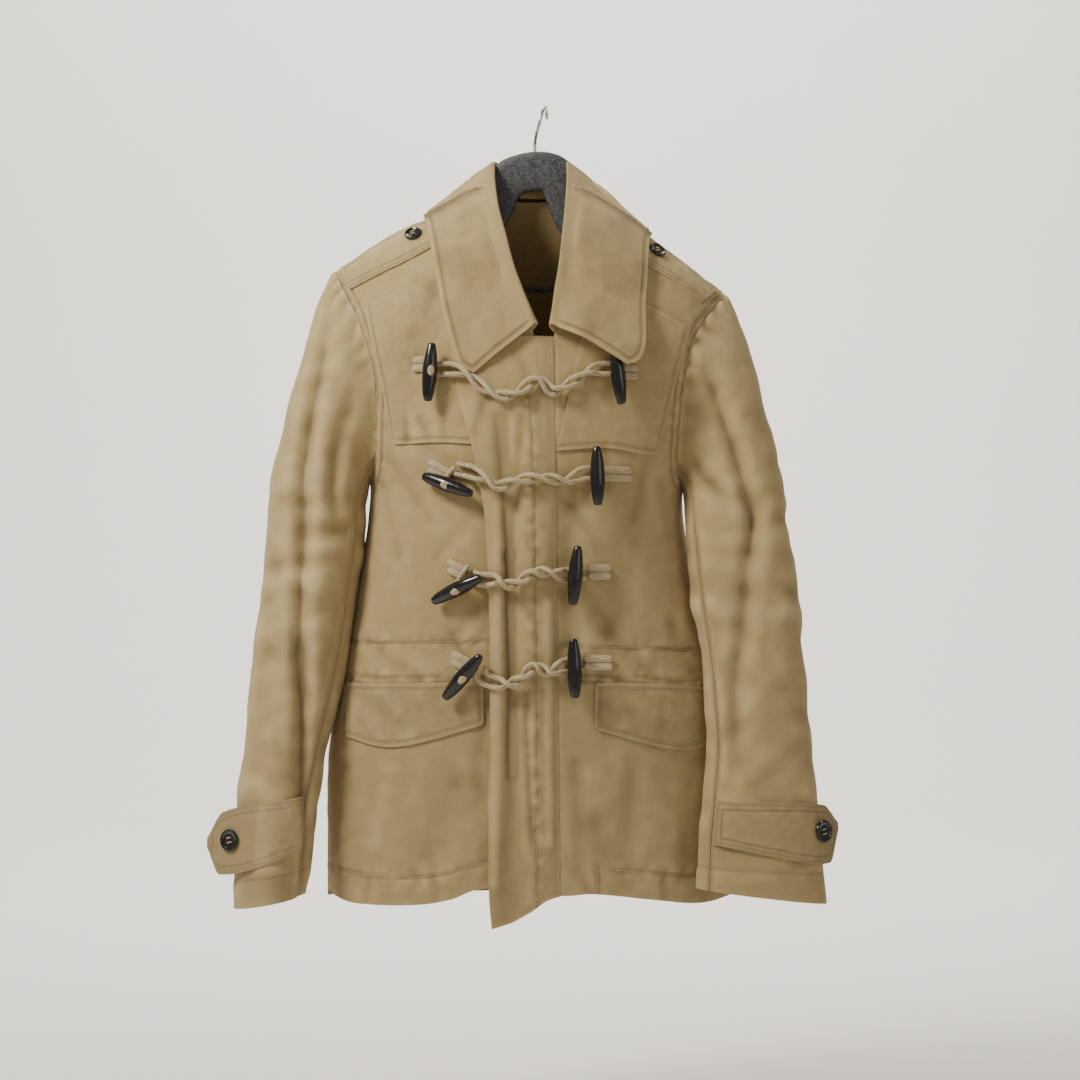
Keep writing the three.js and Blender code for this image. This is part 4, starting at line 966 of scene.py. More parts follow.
def away_from(line, x, z):
    best = np.full(np.shape(x), 1e6)
    for (x0, z0), (x1, z1) in zip(line[:-1], line[1:]):
        dx, dz = x1 - x0, z1 - z0
        s = np.clip(((x - x0) * dx + (z - z0) * dz) / (dx * dx + dz * dz), 0, 1)
        best = np.minimum(best, np.hypot(x - x0 - dx * s, z - z0 - dz * s))
    return best


def groove(lines, x, z, points, deep=0.8):
    away = np.minimum.reduce([away_from(line, x, z) for line in lines])
    pucker = crinkle(points, 9.0, 3.0)
    height = -deep * bell(away, 1.9) + pucker * 1.3 * bell(away, 10)
    # The second value marks the groove for the painted shade of the stitch line.
    return height, bell(away, 1.5)


def ease(points, seed, broad=2.0, fine=0.6):
    return crinkle(points, 55.0, seed) * broad + crinkle(points, 17.0, seed + 9) * fine


def on_cloth(x, z, distance):
    spots = over(x, z, -1, np.zeros(np.shape(x)))
    return over(x, z, -1, distance + ease(spots, 1.0) - valleys(x, z, SMALL_FOLDS))


def front_relief(u, v, points):
    x, z = points[..., 0], points[..., 2]
    height, seam = groove(FRONT_LINES + tuple(ARMHOLE_LINES.values()), x, z, points)
    return height - valleys(x, z, SMALL_FOLDS) + ease(points, 1.0), seam


# %% [markdown]
# ## Fronts and back
# Two fronts and one wide back make the body. The side that nobody sees outside is only seen in the
# neck, where the inner face of the back is a darker facing with two rows of stitches.
# %% Body panels


def hem_z(x):
    return float(hem_at(x)["z"])


right_point = front_point(side_edge("right", -1, hem_z(-228)), front_edge(neck_right, -4, hem_z(-4)))
left_point = front_point(front_edge(neck_left, SEAM_X, hem_z(SEAM_X)), side_edge("left", -1, hem_z(197)))
front_right = dress(
    cloth("coat_front_right", right_point, (100, 210), WALL, cotton, relief=front_relief, inner=facing),
    "front_right")
front_left = dress(
    cloth("coat_front_left", left_point, (90, 210), WALL, cotton, relief=front_relief, inner=facing),
    "front_left")
BACK_NECK = (-81.0, 51.0)


def back_point(u, v):
    v = v * 0.99999
    (fa, za), (fb, zb) = side_edge("right", 1, HEM_Z)(v), side_edge("left", 1, HEM_Z)(v)
    f, level = mix(fa, fb, u), mix(za, zb, u)
    t = np.clip((v - UNDERARM) / (1 - UNDERARM), 0, 1)
    x = body(f, level, 1)[..., 0]
    dip = np.sin(math.pi * np.clip((x - BACK_NECK[0]) / (BACK_NECK[1] - BACK_NECK[0]), 0, 1))
    top = shoulder(x) - 0.002 - 13 * dip
    ends = mix(shoulder(body(fa, za, 1)[..., 0]), shoulder(body(fb, zb, 1)[..., 0]), u)
    return body(f, level + (top - ends) * t * t * (3 - 2 * t), 1)


YOKE_LINE = ((-200, -262), (-15, -256), (170, -268))
BACK_SEAM = ((-15, -262), (-15, -826))
BACK_FOLDS = (
    (-90, -320, -120, -600, 26, 4), (60, -330, 90, -640, 26, 4), (-150, -420, -120, -520, 14, 2),
    (110, -420, 80, -520, 14, 2), (-40, -620, -70, -810, 24, 3.5), (40, -600, 60, -810, 24, 3.5),
)


BACK_LINES = (
    YOKE_LINE, tuple((a, b + 6) for a, b in YOKE_LINE), BACK_SEAM, tuple((a + 6, b) for a, b in BACK_SEAM),
    ((-205, -595), (178, -595)), ((-202, -560), (172, -560)), ((-220, -798), (190, -798)),
)


def back_relief(u, v, points):
    x, z = points[..., 0], points[..., 2]
    height, seam = groove(BACK_LINES, x, z, points)
    calm = smooth(0.0, 0.06, u) * smooth(1.0, 0.94, u)
    return height + (ease(points, 5.0) - valleys(x, z, BACK_FOLDS)) * calm, seam


back = dress(
    cloth("coat_back", back_point, (110, 170), WALL, cotton, flip=-1, relief=back_relief, inner=facing), "back")

# %% [markdown]
# ## The lap over the front edge
# The wearer's left front ends in a wide lap that covers the opening. Its free edge stands proud of
# the cloth, then the lap sinks to a long trough and rises again to the seam. The profile across
# it is a short table, and a stitch line runs down the middle of the trough.
# %% Front lap
def lap_point(u, v):
    z = mix(lap_hem_at(u)["z"], LAP_TOP, v)
    row = placket_at(z)
    seam = mix(SEAM_X, 9.0, (z + 814) / 571) - 0.5
    return over(mix(row["edge"], seam, u), z, -1, lap_off(u, z))


LAP_LINE = ((-16, -310), (-12, -400), (-10, -560), (-9, -700), (-8, -826))
LAP_FOLDS = (
    (-44, -330, -37, -470, 7, 3.2), (-37, -470, -33, -690, 6.5, 4.2), (-20, -610, -12, -760, 5, 2.4),
    (-24, -330, -30, -420, 6, 1.8), (2, -520, 4, -760, 6, -2.0), (-14, -640, -8, -760, 5, -1.6),
    (-46, -420, -52, -800, 6, -1.4), (-60, -300, -70, -345, 6, 1.4), (-4, -262, -2, -300, 4, 1.6),
    (-36, -700, -44, -840, 9, 1.8), (-30, -262, -10, -300, 5, 1.2), (-22, -300, 0, -330, 5, 1.2),
)


def lap_relief(u, v, points):
    x, z = points[..., 0], points[..., 2]
    height, seam = groove((LAP_LINE,), x, z, points, deep=0.5)
    hold = smooth(1.0, 0.9, u)
    floor_gap = lap_off(u, z) - WALL - 0.25
    press = valleys(x, z, LAP_FOLDS) - ease(points, 8.0, 1.2, 0.5)
    return height * hold - np.minimum(press, np.maximum(0.0, floor_gap)) * hold, seam


front_lap = dress(
    cloth("coat_front_lap", lap_point, (44, 260), WALL, cotton, relief=lap_relief, inner=facing),
    "front_placket")

# %% [markdown]
# ## Patches, flaps and straps
# A storm patch doubles the cloth over each shoulder, a pointed flap covers each pocket, and a
# buttoned strap lies on each shoulder. Each is a strip between a lower and an upper edge, moved
# out by its own thickness from the very points of the front, and stitched a few millimetres in.
# %% Pieces laid on the fronts
LAID = WALL / 2 + 0.3 + PATCH_WALL / 2


def strip(lower, upper, distance):
    def point(u, v):
        a, b = lower(u), upper(u)
        top = np.minimum(b["z"], shoulder(b["x"]) - 1.5)
        return on_cloth(mix(a["x"], b["x"], v), mix(a["z"], top, v), distance)

    return point


def hem_stitch(distance, rows=(5.5,), sides=(1, 1, 1, 1)):
    def relief(u, v, points):
        gaps = edge_gaps(*measured(points))
        rim = np.minimum.reduce([gap for gap, use in zip(gaps, sides) if use])
        line = sum(bell(rim - row, 1.2) for row in rows)
        crown = 0.5 * (1 - bell(rim, distance)) * bell(rim - distance, 12)
        return -0.4 * line + crown * 0.4 + crinkle(points, 8.0, 2.0) * 0.35, np.clip(line, 0, 1)

    return relief


STRIPS = {
    "storm_patch_right": dict(
        lower=reader(("u", "x", "z"), (0, -156, -349), (0.06, -152, -355), (0.5, -112, -354), (1, -61, -357)),
        upper=reader(("u", "x", "z"), (0, -184, -215), (0.06, -181, -212), (0.5, -148, -198), (1, -99, -180)),
        steps=(70, 110), look=cotton, rows=(5.5,), sides=(1, 0, 1, 0),
    ),
    "storm_patch_left": dict(
        lower=reader(("u", "x", "z"), (0, 11, -363), (0.5, 62, -360), (0.94, 108, -366), (1, 114, -360)),
        upper=reader(("u", "x", "z"), (0, 46, -206), (0.5, 98, -211), (0.94, 145, -234), (1, 148, -237)),
        steps=(80, 110), look=cotton, rows=(5.5,), sides=(0, 1, 1, 0),
    ),
    "pocket_flap_right": dict(
        lower=reader(("u", "x", "z"), (0, -204, -657), (0.46, -152, -665), (0.94, -66, -642), (1, -62, -638)),
        upper=reader(
            ("u", "x", "z"), (0, -203, -601.5), (0.46, -151, -600), (0.94, -66, -598.5), (1, -62, -599.5)),
        steps=(90, 40), look=cotton_low, rows=(5.5,), sides=(1, 1, 1, 1),
    ),
    "pocket_flap_left": dict(
        lower=reader(("u", "x", "z"), (0, 50, -643), (0.06, 55, -647), (0.62, 137, -669), (1, 176, -662)),
        upper=reader(
            ("u", "x", "z"), (0, 50, -599.5), (0.06, 54, -598.5), (0.62, 134, -602), (1, 174, -607.5)),
        steps=(84, 40), look=cotton_low, rows=(5.5,), sides=(1, 1, 1, 1),
    ),
    "shoulder_strap_right": dict(
        lower=reader(("u", "x", "z"), (0, -202, -194), (0.5, -160, -174), (1, -112, -150)),
        upper=reader(("u", "x", "z"), (0, -213, -171.5), (0.5, -162, -138.5), (1, -113, -117)),
        steps=(64, 40), look=cotton, rows=(2.5, 8.0), sides=(0, 0, 1, 1),
    ),
    "shoulder_strap_left": dict(
        lower=reader(("u", "x", "z"), (0, 92, -164), (0.5, 126, -183), (1, 160, -208)),
        upper=reader(("u", "x", "z"), (0, 92, -128), (0.5, 138, -161.5), (1, 178, -193.5)),
        steps=(60, 40), look=cotton, rows=(2.5, 8.0), sides=(0, 0, 1, 1),
    ),
}
for name, part in STRIPS.items():
    point = strip(part["lower"], part["upper"], LAID)
    relief = hem_stitch(5.0, part["rows"], part["sides"])
    piece = cloth(
        "coat_" + name, point, part["steps"], PATCH_WALL, part["look"], relief=relief, edge_width=4.0)
    dress(piece, name)

# %% [markdown]
# ## The collar
# The collar is one folded piece: a stand rises from the neckline, rolls over, and falls flat on the
# shoulders. Three guide lines are enough for it, the neckline, the roll and the outer edge. Each
# row of the table is one cut across the cloth, and a smooth curve joins its points.
# %% Collar
collar_at = reader(
    ("s", "neck_x", "neck_z", "roll_x", "roll_y", "roll_z", "edge_x", "edge_z", "lift", "off"),
    (0, -12, -240, -10.5, -97, -233, -72, -284, 2, 6.8), (1, -26, -226, -16, -94, -218, -88, -273, 3, 6.8),
    (2, -41, -209, -23, -89, -200, -97, -243, 4, 6.8), (3, -58, -182, -33, -81, -172, -105, -208, 5, 6.8),
    (4, -71, -149, -41, -69, -141, -112, -172, 6, 6.8), (5, -79, -115, -50, -46, -104, -118, -141, 7, 6.8),
    (6, -81, -96, -54, -8, -62, -122, -119, 8, 6.8), (7, -64, -94.5, -47, 18, -57, -98, -140, 8, 7.5),
    (8, -15, -96.5, -15, 27, -56, -12, -158, 7, 7.5), (9, 36, -96, 17, 18, -57, 80, -152, 8, 7.5),
    (10, 51, -99, 24, -8, -61, 104, -134.5, 8, 6.8), (11, 51, -118, 22, -46, -104, 104, -153, 7, 6.8),
    (12, 46, -150, 18.5, -69, -141, 102, -184, 6, 6.8), (13, 39, -182, 15, -81, -172, 99, -216, 6, 9),
    (14, 29, -209, 10.5, -89, -200, 96, -245, 8, 19), (15, 18, -230, 9, -94, -218, 88, -270, 9, 29),
    (16, 9, -243, 7.5, -97, -234, 76, -277, 8, 31),
)
COLLAR_OFF = 6.8


def clear(point, side, distance):
    line = shoulder(point[..., 0])
    z = np.minimum(point[..., 2], line - 0.3)
    base = over(point[..., 0], z, side, 0.0)
    out = over(point[..., 0], z, side, 1.0) - base
    gap = np.sum((point - base) * out, axis=-1)
    push = np.where(point[..., 2] > line + distance, 0, np.maximum(0, distance - gap))
    return point + out * push[..., None]


def collar_point(u, v):
    s = u * 16
    row = collar_at(s)
    front = np.clip(smooth(6.9, 6.3, s) + smooth(9.1, 9.7, s), 0, 1)

    def pick(x, z, distance):
        return mix(over(x, z, 1, distance), over(x, z, -1, distance), front[..., None])

    neck = pick(row["neck_x"], row["neck_z"], 0.0)
    roll = xyz(row["roll_x"], row["roll_y"], row["roll_z"])
    edge = pick(row["edge_x"], row["edge_z"], row["off"])
    reach = np.linalg.norm(roll - neck, axis=-1)
    neck = mix(neck, roll, np.minimum(0.5, 3 / reach)[..., None])
    reach = np.linalg.norm(roll - neck, axis=-1)
    out, up = unit(edge - neck), unit(roll - neck)
    fold = np.minimum(4.5, reach * 0.3)[..., None]
    near = roll - out * fold * 0.9 - up * fold * 1.2
    far = roll + out * fold * 1.6 - up * fold * 0.2
    bulge = up * row["lift"][..., None]
    middle = mix(far, edge, 0.4) + bulge * 0.8
    lower = mix(far, edge, 0.75) + bulge * 0.4
    point = catmull([neck, near, roll, far, middle, lower, edge], v)
    ahead = clear(point, -1, COLLAR_OFF * smooth(0.38, 0.6, v))
    behind = clear(point, 1, (COLLAR_OFF + 4) * smooth(0.38, 0.6, v))
    back_share = (smooth(6.5, 6.7, s) * smooth(9.5, 9.3, s))[..., None]
    return mix(ahead, behind, back_share)


COLLAR_STITCH = 6.5


def collar_relief(u, v, points):
    start, end, low, high = edge_gaps(*measured(points))
    rim = np.minimum.reduce((start, end, high))
    fall = smooth(0.42, 0.55, v)
    line = bell(rim - COLLAR_STITCH, 1.3) * fall
    waves = crinkle(points, 42.0, 14.0) * 2.0 + crinkle(points, 14.0, 15.0) * 0.5
    return (waves * bell(v - 0.75, 0.3) - 0.5 * line + 0.6 * bell(rim, 5)) * fall, line


dress(
    cloth("coat_collar", collar_point, (240, 84), COLLAR_WALL, cotton, flip=-1, relief=collar_relief),
    "collar")

# %% [markdown]
# ## Sleeves
# Each sleeve is two pieces, a wide upper and a narrow under sleeve. Round by round it starts on the
# armhole and turns into a free tube that hangs forward a little, as a bent arm would. Long valleys
# run down it where the empty cloth falls in, and small gathers ease the cap into the shoulder.
# %% Sleeves
SLEEVE_COLUMNS = ("t", "out_x", "out_z", "in_x", "in_z", "y", "half")
SLEEVE = {
    "right": reader(
        SLEEVE_COLUMNS,
        (0, -234, -191, -183, -394, -6, 42), (1, -247, -223, -184, -397, -7, 46),
        (2, -258, -265, -185, -402, -8, 50),
        (3, -267, -307, -186, -409, -10, 52), (4, -276, -349, -188, -419, -12, 53),
        (5, -284, -396, -188, -438, -15, 53),
        (6, -290, -448, -190, -467, -18, 52), (7, -296, -506, -196.5, -512, -22, 51),
        (8, -301, -563, -205, -566, -27, 50),
        (9, -306.5, -609, -214, -609, -32, 50), (10, -312, -668, -227, -667, -39, 50),
        (11, -317, -722, -235, -717, -45, 50),
        (12, -320, -775, -240, -768, -49, 50), (13, -320, -832, -248, -818, -52, 50),
    ),
    "left": reader(
        SLEEVE_COLUMNS,
        (0, 197, -206, 146, -398, -8, 40), (1, 207.5, -226, 146, -400, -11, 40),
        (2, 218, -266, 146, -404, -16, 38),
        (3, 228, -308, 145.5, -411, -22, 37), (4, 237, -350, 145, -421, -28, 36),
        (5, 246, -396, 145.5, -441, -35, 34),
        (6, 251.5, -443, 148, -471, -42, 32), (7, 260, -505, 152.5, -516, -50, 30),
        (8, 264.5, -562, 159.5, -565, -58, 29),
        (9, 268, -608, 164, -608, -64, 28), (10, 273, -666, 167, -666, -70, 27),
        (11, 277, -720, 162, -718, -75, 26),
        (12, 281.5, -767, 157, -765, -77, 25), (13, 287, -825, 155, -809, -80, 24),
    ),
}

SLEEVE_FOLDS = {
    "right": (
        (reader(("t", "turn"), (1, 150), (3, 122), (5, 108), (8, 88), (10, 60), (12.5, 22)), 13, 12, 0.8, 13),
        (reader(("t", "turn"), (1, 95), (3, 78), (6, 60)), 12, 6, 0.8, 6),
        (reader(("t", "turn"), (6, 140), (10, 128), (13, 118)), 18, 3, 5.5, 13),
    ),
    "left": (
        (reader(("t", "turn"), (1, 112), (3, 99), (6, 110)), 11, 8, 0.8, 6.5),
        (reader(("t", "turn"), (2, 50), (3.5, 58), (5, 86)), 11, 7, 1.5, 5.2),
        (reader(("t", "turn"), (5, 118), (7, 88), (9, 62), (11, 56)), 13, 7, 4.6, 11),
    ),
}


def sleeve(which, t, turn):
    hole, row = ARMHOLE[which], SLEEVE[which](t)
    c, s = np.cos(np.radians(turn)), np.sin(np.radians(turn))
    middle = xyz((row["out_x"] + row["in_x"]) / 2, row["y"], (row["out_z"] + row["in_z"]) / 2)
    inner = xyz((row["in_x"] - row["out_x"]) / 2, 0, (row["in_z"] - row["out_z"]) / 2)
    deep = 0
    for turn_at, width, depth, start, end in SLEEVE_FOLDS[which]:
        fade = smooth(start, start + 1.4, t) * (1 if end >= 13 else smooth(end, end - 1.6, t))
        deep = deep + depth * bell(turn - turn_at(t)["turn"], width) * fade
    free = middle + inner * (c * (1 - deep / 95))[..., None]
    free[..., 1] += -row["half"] * s + deep * s
    angle = np.abs((turn + 180) % 360 - 180)
    side = np.where(s >= 0, -1, 1)
    f, z = armhole(hole, angle, side)
    seam = np.where((s >= 0)[..., None], body(f, z, -1), body(f, z, 1))
    seam[..., 0] += hole["sign"] * 0.2
    share = smooth(-0.2, 3.4, t) * 0.86 + 0.14 * smooth(0, 5, t)
    share = share - np.where(t < 0.01, smooth(-0.2, 3.4, 0) * 0.86, 0)
    return mix(seam, free, share[..., None])


FRONT_SEAM = 36.0
BACK_SEAM = 262.0
SEAM_TURN = 0.35


def sleeve_relief(which, start, end):
    sign = 1 if which == "right" else -1

    def relief(u, v, points):
        t, turn = v * 13, mix(start, end, u)
        across_mm = np.radians(np.minimum(turn - start, end - turn)) * 48
        gathers = np.sin(np.radians(turn) * 26 + crinkle(points, 20.0, 4.0) * 3) * 1.1
        cap = gathers * bell(t - 0.4, 0.75) * smooth(70, 110, turn) * smooth(262, 230, turn)
        line = bell(across_mm - 2.2, 1.3)
        hem = bell((13 - t) * 48 - 26, 1.4)
        slack = crinkle(points, 46.0, 20.0 + sign) * 3.0 + crinkle(points, 19.0, 22.0) * 1.1
        cross = crinkle(points * np.array((1, 1, 2.6)), 60.0, 27.0 + sign) * 2.8 * bell(t - 6.2, 2.4)
        calm = smooth(0.0, 1.2, t) * smooth(0, 9, across_mm) * smooth(13.0, 12.5, t)
        return cap + (slack + cross) * calm - 0.45 * line - 0.45 * hem, np.clip(line + hem, 0, 1)

    return relief


for which in ("right", "left"):
    flip = 1 if which == "right" else -1
    for piece_name, start, end, columns in (
        ("upper", FRONT_SEAM + SEAM_TURN, BACK_SEAM - SEAM_TURN, 110),
        ("under", BACK_SEAM - 360 + SEAM_TURN, FRONT_SEAM - SEAM_TURN, 56),
    ):
        def turn_point(u, v, which=which, start=start, end=end):
            return sleeve(which, v * 13, mix(start, end, u))

        made = cloth(
            f"coat_sleeve_{piece_name}_{which}", turn_point, (columns, 200), SLEEVE_WALL, cotton, flip=flip,
            relief=sleeve_relief(which, start, end), inner=facing)
        dress(made, f"sleeve_{piece_name}_{which}")

# %% [markdown]
# ## Cuff tabs
# A tab wraps the outside of each cuff and buttons at its pointed end. It follows the sleeve's own
# rounds a millimetre or two above them, and where the sleeve turns away the stiff tab goes on
# straight, so that its point stands free.
# %% Cuff tabs
TABS = {
    "right": dict(
        low=reader(("u", "t", "turn"), (0, 12.03, 42), (0.857, 12.36, 165), (1, 11.86, 187)),
        high=reader(("u", "t", "turn"), (0, 10.94, 42), (0.857, 11.2, 165), (1, 11.7, 187)),
        button=(11.74, 149), off=3.3, leave=112,
    ),
    "left": dict(
        low=reader(("u", "t", "turn"), (0, 11.95, 40), (0.857, 12.3, 174), (1, 11.66, 196)),
        high=reader(("u", "t", "turn"), (0, 11.02, 40), (0.857, 11.1, 174), (1, 11.5, 196)),
        button=(11.68, 166), off=2.9, leave=158,
    ),
}


def sleeve_over(which, t, turn, distance):
    t, turn = np.asarray(t, float), np.asarray(turn, float)
    round_step = sleeve(which, t, turn + 2) - sleeve(which, t, turn - 2)
    down_step = sleeve(which, t + 0.1, turn) - sleeve(which, t - 0.1, turn)
    sign = 1 if which == "right" else -1
    return sleeve(which, t, turn) + unit(np.cross(round_step, down_step)) * sign * distance


def tab_over(which, t, turn, distance):
    t, turn = np.asarray(t, float), np.asarray(turn, float)
    leave = TABS[which]["leave"] + 0 * turn
    at = sleeve_over(which, t, np.minimum(turn, leave), distance)
    along = unit(sleeve_over(which, t, leave, distance) - sleeve_over(which, t, leave - 8, distance))
    return at + along * (np.maximum(0, turn - leave) * 0.8)[..., None]


for which, tab in TABS.items():
    def tab_point(u, v, which=which, tab=tab):
        a, b = tab["low"](u), tab["high"](u)
        return tab_over(which, mix(a["t"], b["t"], v), mix(a["turn"], b["turn"], v), tab["off"])

    made = cloth(
        f"coat_cuff_tab_{which}", tab_point, (80, 36), PATCH_WALL, cotton_low,
        flip=-1 if which == "right" else 1, relief=hem_stitch(4.0, (2.5, 8.0)), edge_width=4.0)
    dress(made, f"cuff_tab_{which}")

# %% [markdown]
# ## Four-hole buttons
# A coat button has a raised rim, a shallow dish and four holes. The holes are pressed into the fine
# rings of the dish, and two short threads run across them and down into the cloth.
# %% Buttons
def cotton_thread(name, colour):
    material, nodes, links, surface = shader(name, 0.75, sheen=0.3)
    spot = nodes.new("ShaderNodeTexCoord")
    twist = node(nodes, "ShaderNodeTexNoise", Scale=1500.0, Detail=2.0)
    links.new(spot.outputs["Object"], twist.inputs["Vector"])
    darker = tuple(c * 0.7 for c in colour[:3]) + (1,)
    links.new(blend_colour(nodes, links, darker, colour, twist.outputs["Fac"]), surface.inputs["Base Color"])
    return material


tan_thread = cotton_thread("tan_thread", (0.50, 0.38, 0.20, 1))
HOLE_AT = 0.21
HOLE_SIZE = 0.13


def hole_share(local, r):
    spots = [np.hypot(local[..., 0] - a * HOLE_AT * r, local[..., 1] - b * HOLE_AT * r)
             for a in (-1, 1) for b in (-1, 1)]
    away = np.minimum.reduce(spots)
    return (1 - smooth(HOLE_SIZE * 0.75 * r, HOLE_SIZE * 1.15 * r, away)) * (local[..., 2] > 0.25)


def sewn_button(name, low, out, diameter, *nodes):
    r = diameter / 2
    rim = [(0, 0), (r * 0.8, 0), (r * 0.95, 0.5), (r, 1.3), (r, 2.1), (r * 0.95, 2.9), (r * 0.86, 3.15),
           (r * 0.77, 2.9), (r * 0.7, 2.35), (r * 0.62, 2.15)]
    dish = [(r * k, 2.1 - 0.25 * (1 - k)) for k in np.linspace(0.58, 0, 24)]

    def shape(local):
        local = local.copy()
        local[..., 2] -= 1.7 * hole_share(local, r) * (local[..., 2] > 1.2)
        return local

    # The hole mask marks the four holes for their painted shade.
    piece = turned(name, rim + dish, 72, low, out, (1, 0, 0.2), black_horn, shape=shape,
                   paint=lambda local: hole_share(local, r))
    dress(piece, *nodes, slot="black_horn")
    face = unit(np.array((1, 0, 0.2)) - out * np.dot((1, 0, 0.2), out))
    side = np.cross(out, face)
    for k, up in enumerate((-1, 1)):
        arch = [low + face * (a * HOLE_AT * r) + side * (up * HOLE_AT * r) + out * h
                for a, h in ((-1, 0.6), (-0.95, 2.2), (0, 2.75), (0.95, 2.2), (1, 0.6))]
        line = curve_through(arch, 16)
        strand = tube(f"{name}_thread_{k}", line, np.tile(side, (16, 1)), 0.75, 8, tan_thread)
        dress(strand, slot="cotton_twill")


for which, x, z in (("right", -136, -138), ("left", 115, -155)):
    spot = np.array([x]), np.array([z])
    low = on_cloth(*spot, np.array([LAID + PATCH_WALL / 2 + 0.25]))[0]
    out = unit(over(*spot, -1, np.array([4.0]))[0] - over(*spot, -1, np.array([3.0]))[0])
    sewn_button(f"shoulder_button_{which}_horn", low, out, 18.2, f"shoulder_button_{which}")
for which, tab in TABS.items():
    t, turn = tab["button"]
    low = tab_over(which, t, turn, tab["off"] + PATCH_WALL / 2 + 0.6)
    round_step = tab_over(which, t, turn + 2, 4.0) - tab_over(which, t, turn - 2, 4.0)
    down_step = tab_over(which, t + 0.1, turn, 4.0) - tab_over(which, t - 0.1, turn, 4.0)
    out = unit(np.cross(round_step, down_step)) * (1 if which == "right" else -1)
    sewn_button(f"cuff_button_{which}_horn", low, out, 22.6, f"cuff_button_{which}")

# %% [markdown]
# ## Hanger
# The hanger is a moulded board with soft edges, a round bar for trousers and a bent wire hook.
# %% Hanger
def plain(name, colour, roughness, metallic, size, deep, highlight_grey=None):
    material, nodes, links, surface = shader(name, roughness, metallic=metallic)
    spot = nodes.new("ShaderNodeTexCoord")
    grain = node(nodes, "ShaderNodeTexNoise", Scale=size, Detail=4.0, Roughness=0.7)
    links.new(spot.outputs["Object"], grain.inputs["Vector"])
    # For the black plastic the lighter colour is grey specks of painted highlight; for the steel it is plain
    # random tone.
    lighter = highlight_grey or tuple(min(1, c * 1.8 + 0.004) for c in colour[:3]) + (1,)
    base = blend_colour(nodes, links, colour, lighter, scaled(nodes, links, grain.outputs["Fac"], 2.0, -0.7))
    links.new(base, surface.inputs["Base Color"])
    links.new(scaled(nodes, links, grain.outputs["Fac"], 0.3, roughness - 0.15), surface.inputs["Roughness"])
    links.new(raised(nodes, links, grain.outputs["Fac"], 0.6, deep), surface.inputs["Normal"])
    return material


# Black plastic, with grey specks painted in as the speckled highlight of its rough face.
black_plastic = plain(
    "black_plastic", (0.012, 0.012, 0.013, 1), 0.34, 0.0, 520.0, 0.0012, (0.21, 0.21, 0.205, 1))
bright_steel = plain("bright_steel", (0.52, 0.52, 0.51, 1), 0.28, 1.0, 900.0, 0.00005)
board_top = reader(
    ("x", "z"),
    (-80, -108), (-66, -100), (-55, -86), (-47, -67), (-39, -56), (-31, -50.5), (-12, -46), (4, -47),
    (12, -52), (19, -65), (28, -90), (40, -107), (52, -113),
)
x = np.linspace(-190, 168, 180)
hidden = 1 - smooth(-100, -78, x) * smooth(72, 50, x)
top = mix(board_top(x)["z"], shoulder(x) - 9.5, hidden)
height = 41 - 17 * smooth(70, 180, np.abs(x + 12))
dress(
    tube("hanger_board_moulded", xyz(x, 0 * x, top - height / 2), np.tile(FRONT, (180, 1)), 1.0, 48,
         black_plastic, round_ends=False, section=(4.9, height / 2), power=0.55),
    "hanger_board", slot="black_plastic")
bar_line = curve_through(
    ((-150, 0, -169.4), (-148, 0, -182), (-138, 0, -189.5), (-60, 0, -190.5), (40, 0, -190.5),
     (100, 0, -190.5)), 120)
dress(tube("hanger_bar_round", bar_line, np.tile(FRONT, (120, 1)), 3.5, 24, black_plastic), "hanger_bar",
      slot="black_plastic")
hook_points = [(-10.5, 0, -45.7), (-10.5, 0, -38), (-10, -4, -33.5)]
for k in range(8):
    a = math.radians(-50 + k * 30)
    lean = -8.8 * (1 - k / 4) if k <= 4 else (k - 4) * 0.7
    hook_points.append((lean, -17 * math.cos(a), -17 + 17 * math.sin(a) + 1.7))
hook_line = curve_through(hook_points, 220)
dress(
    tube("hanger_hook_wire", hook_line, np.tile((1.0, 0, 0), (220, 1)), 1.7, 20, bright_steel), "hanger_hook",
    slot="bright_steel")

# %% [markdown]
# ## Topstitching
# The thread of a lockstitch lies on the cloth for three millimetres, dips into it and comes up
# again. One thin tube for each row does just that. Rows near an edge are read from the piece's own
# grid at a fixed distance, and rows across a panel are found by casting rays onto the cloth.
# %% Threads
STITCH = STITCH_LENGTH + STITCH_GAP
THREAD = 0.34


def sew(name, points, normals, height):
    far = lengths(points)
    s = np.linspace(0, far[-1], max(8, int(far[-1] / (0.8 * QUICK))))
    p = np.stack([np.interp(s, far, points[:, k]) for k in range(3)], axis=1)
    n = unit(np.stack([np.interp(s, far, normals[:, k]) for k in range(3)], axis=1))
    lift = height + 0.16 - 0.8 * bell(s % STITCH / STITCH - 0.5, 0.14)
    row = tube(name, p + n * lift[:, None], n, THREAD, 5, tan_thread, round_ends=False)
    return dress(row)


def edge_row(name, edge, inset, cut=(0.0, 0.0)):
    points, normals, along, up, thick = GRIDS["coat_" + name]
    both = np.concatenate((points, normals), axis=2)
    if edge in ("start", "end"):
        both, gap = both.transpose(1, 0, 2), along.T
    else:
        gap = up
    if edge in ("end", "high"):
        both, gap = both[::-1], gap[-1:] - gap[::-1]
    line = np.array([
        [np.interp(inset, gap[:, i], both[:, i, k]) for k in range(6)] for i in range(gap.shape[1])])
    far = lengths(line[:, :3])
    line = line[(far >= cut[0]) & (far <= far[-1] - cut[1])]
    return sew(f"thread_{name}_{edge}_{inset:g}".replace(".", "_"), line[:, :3], line[:, 3:], thick / 2)


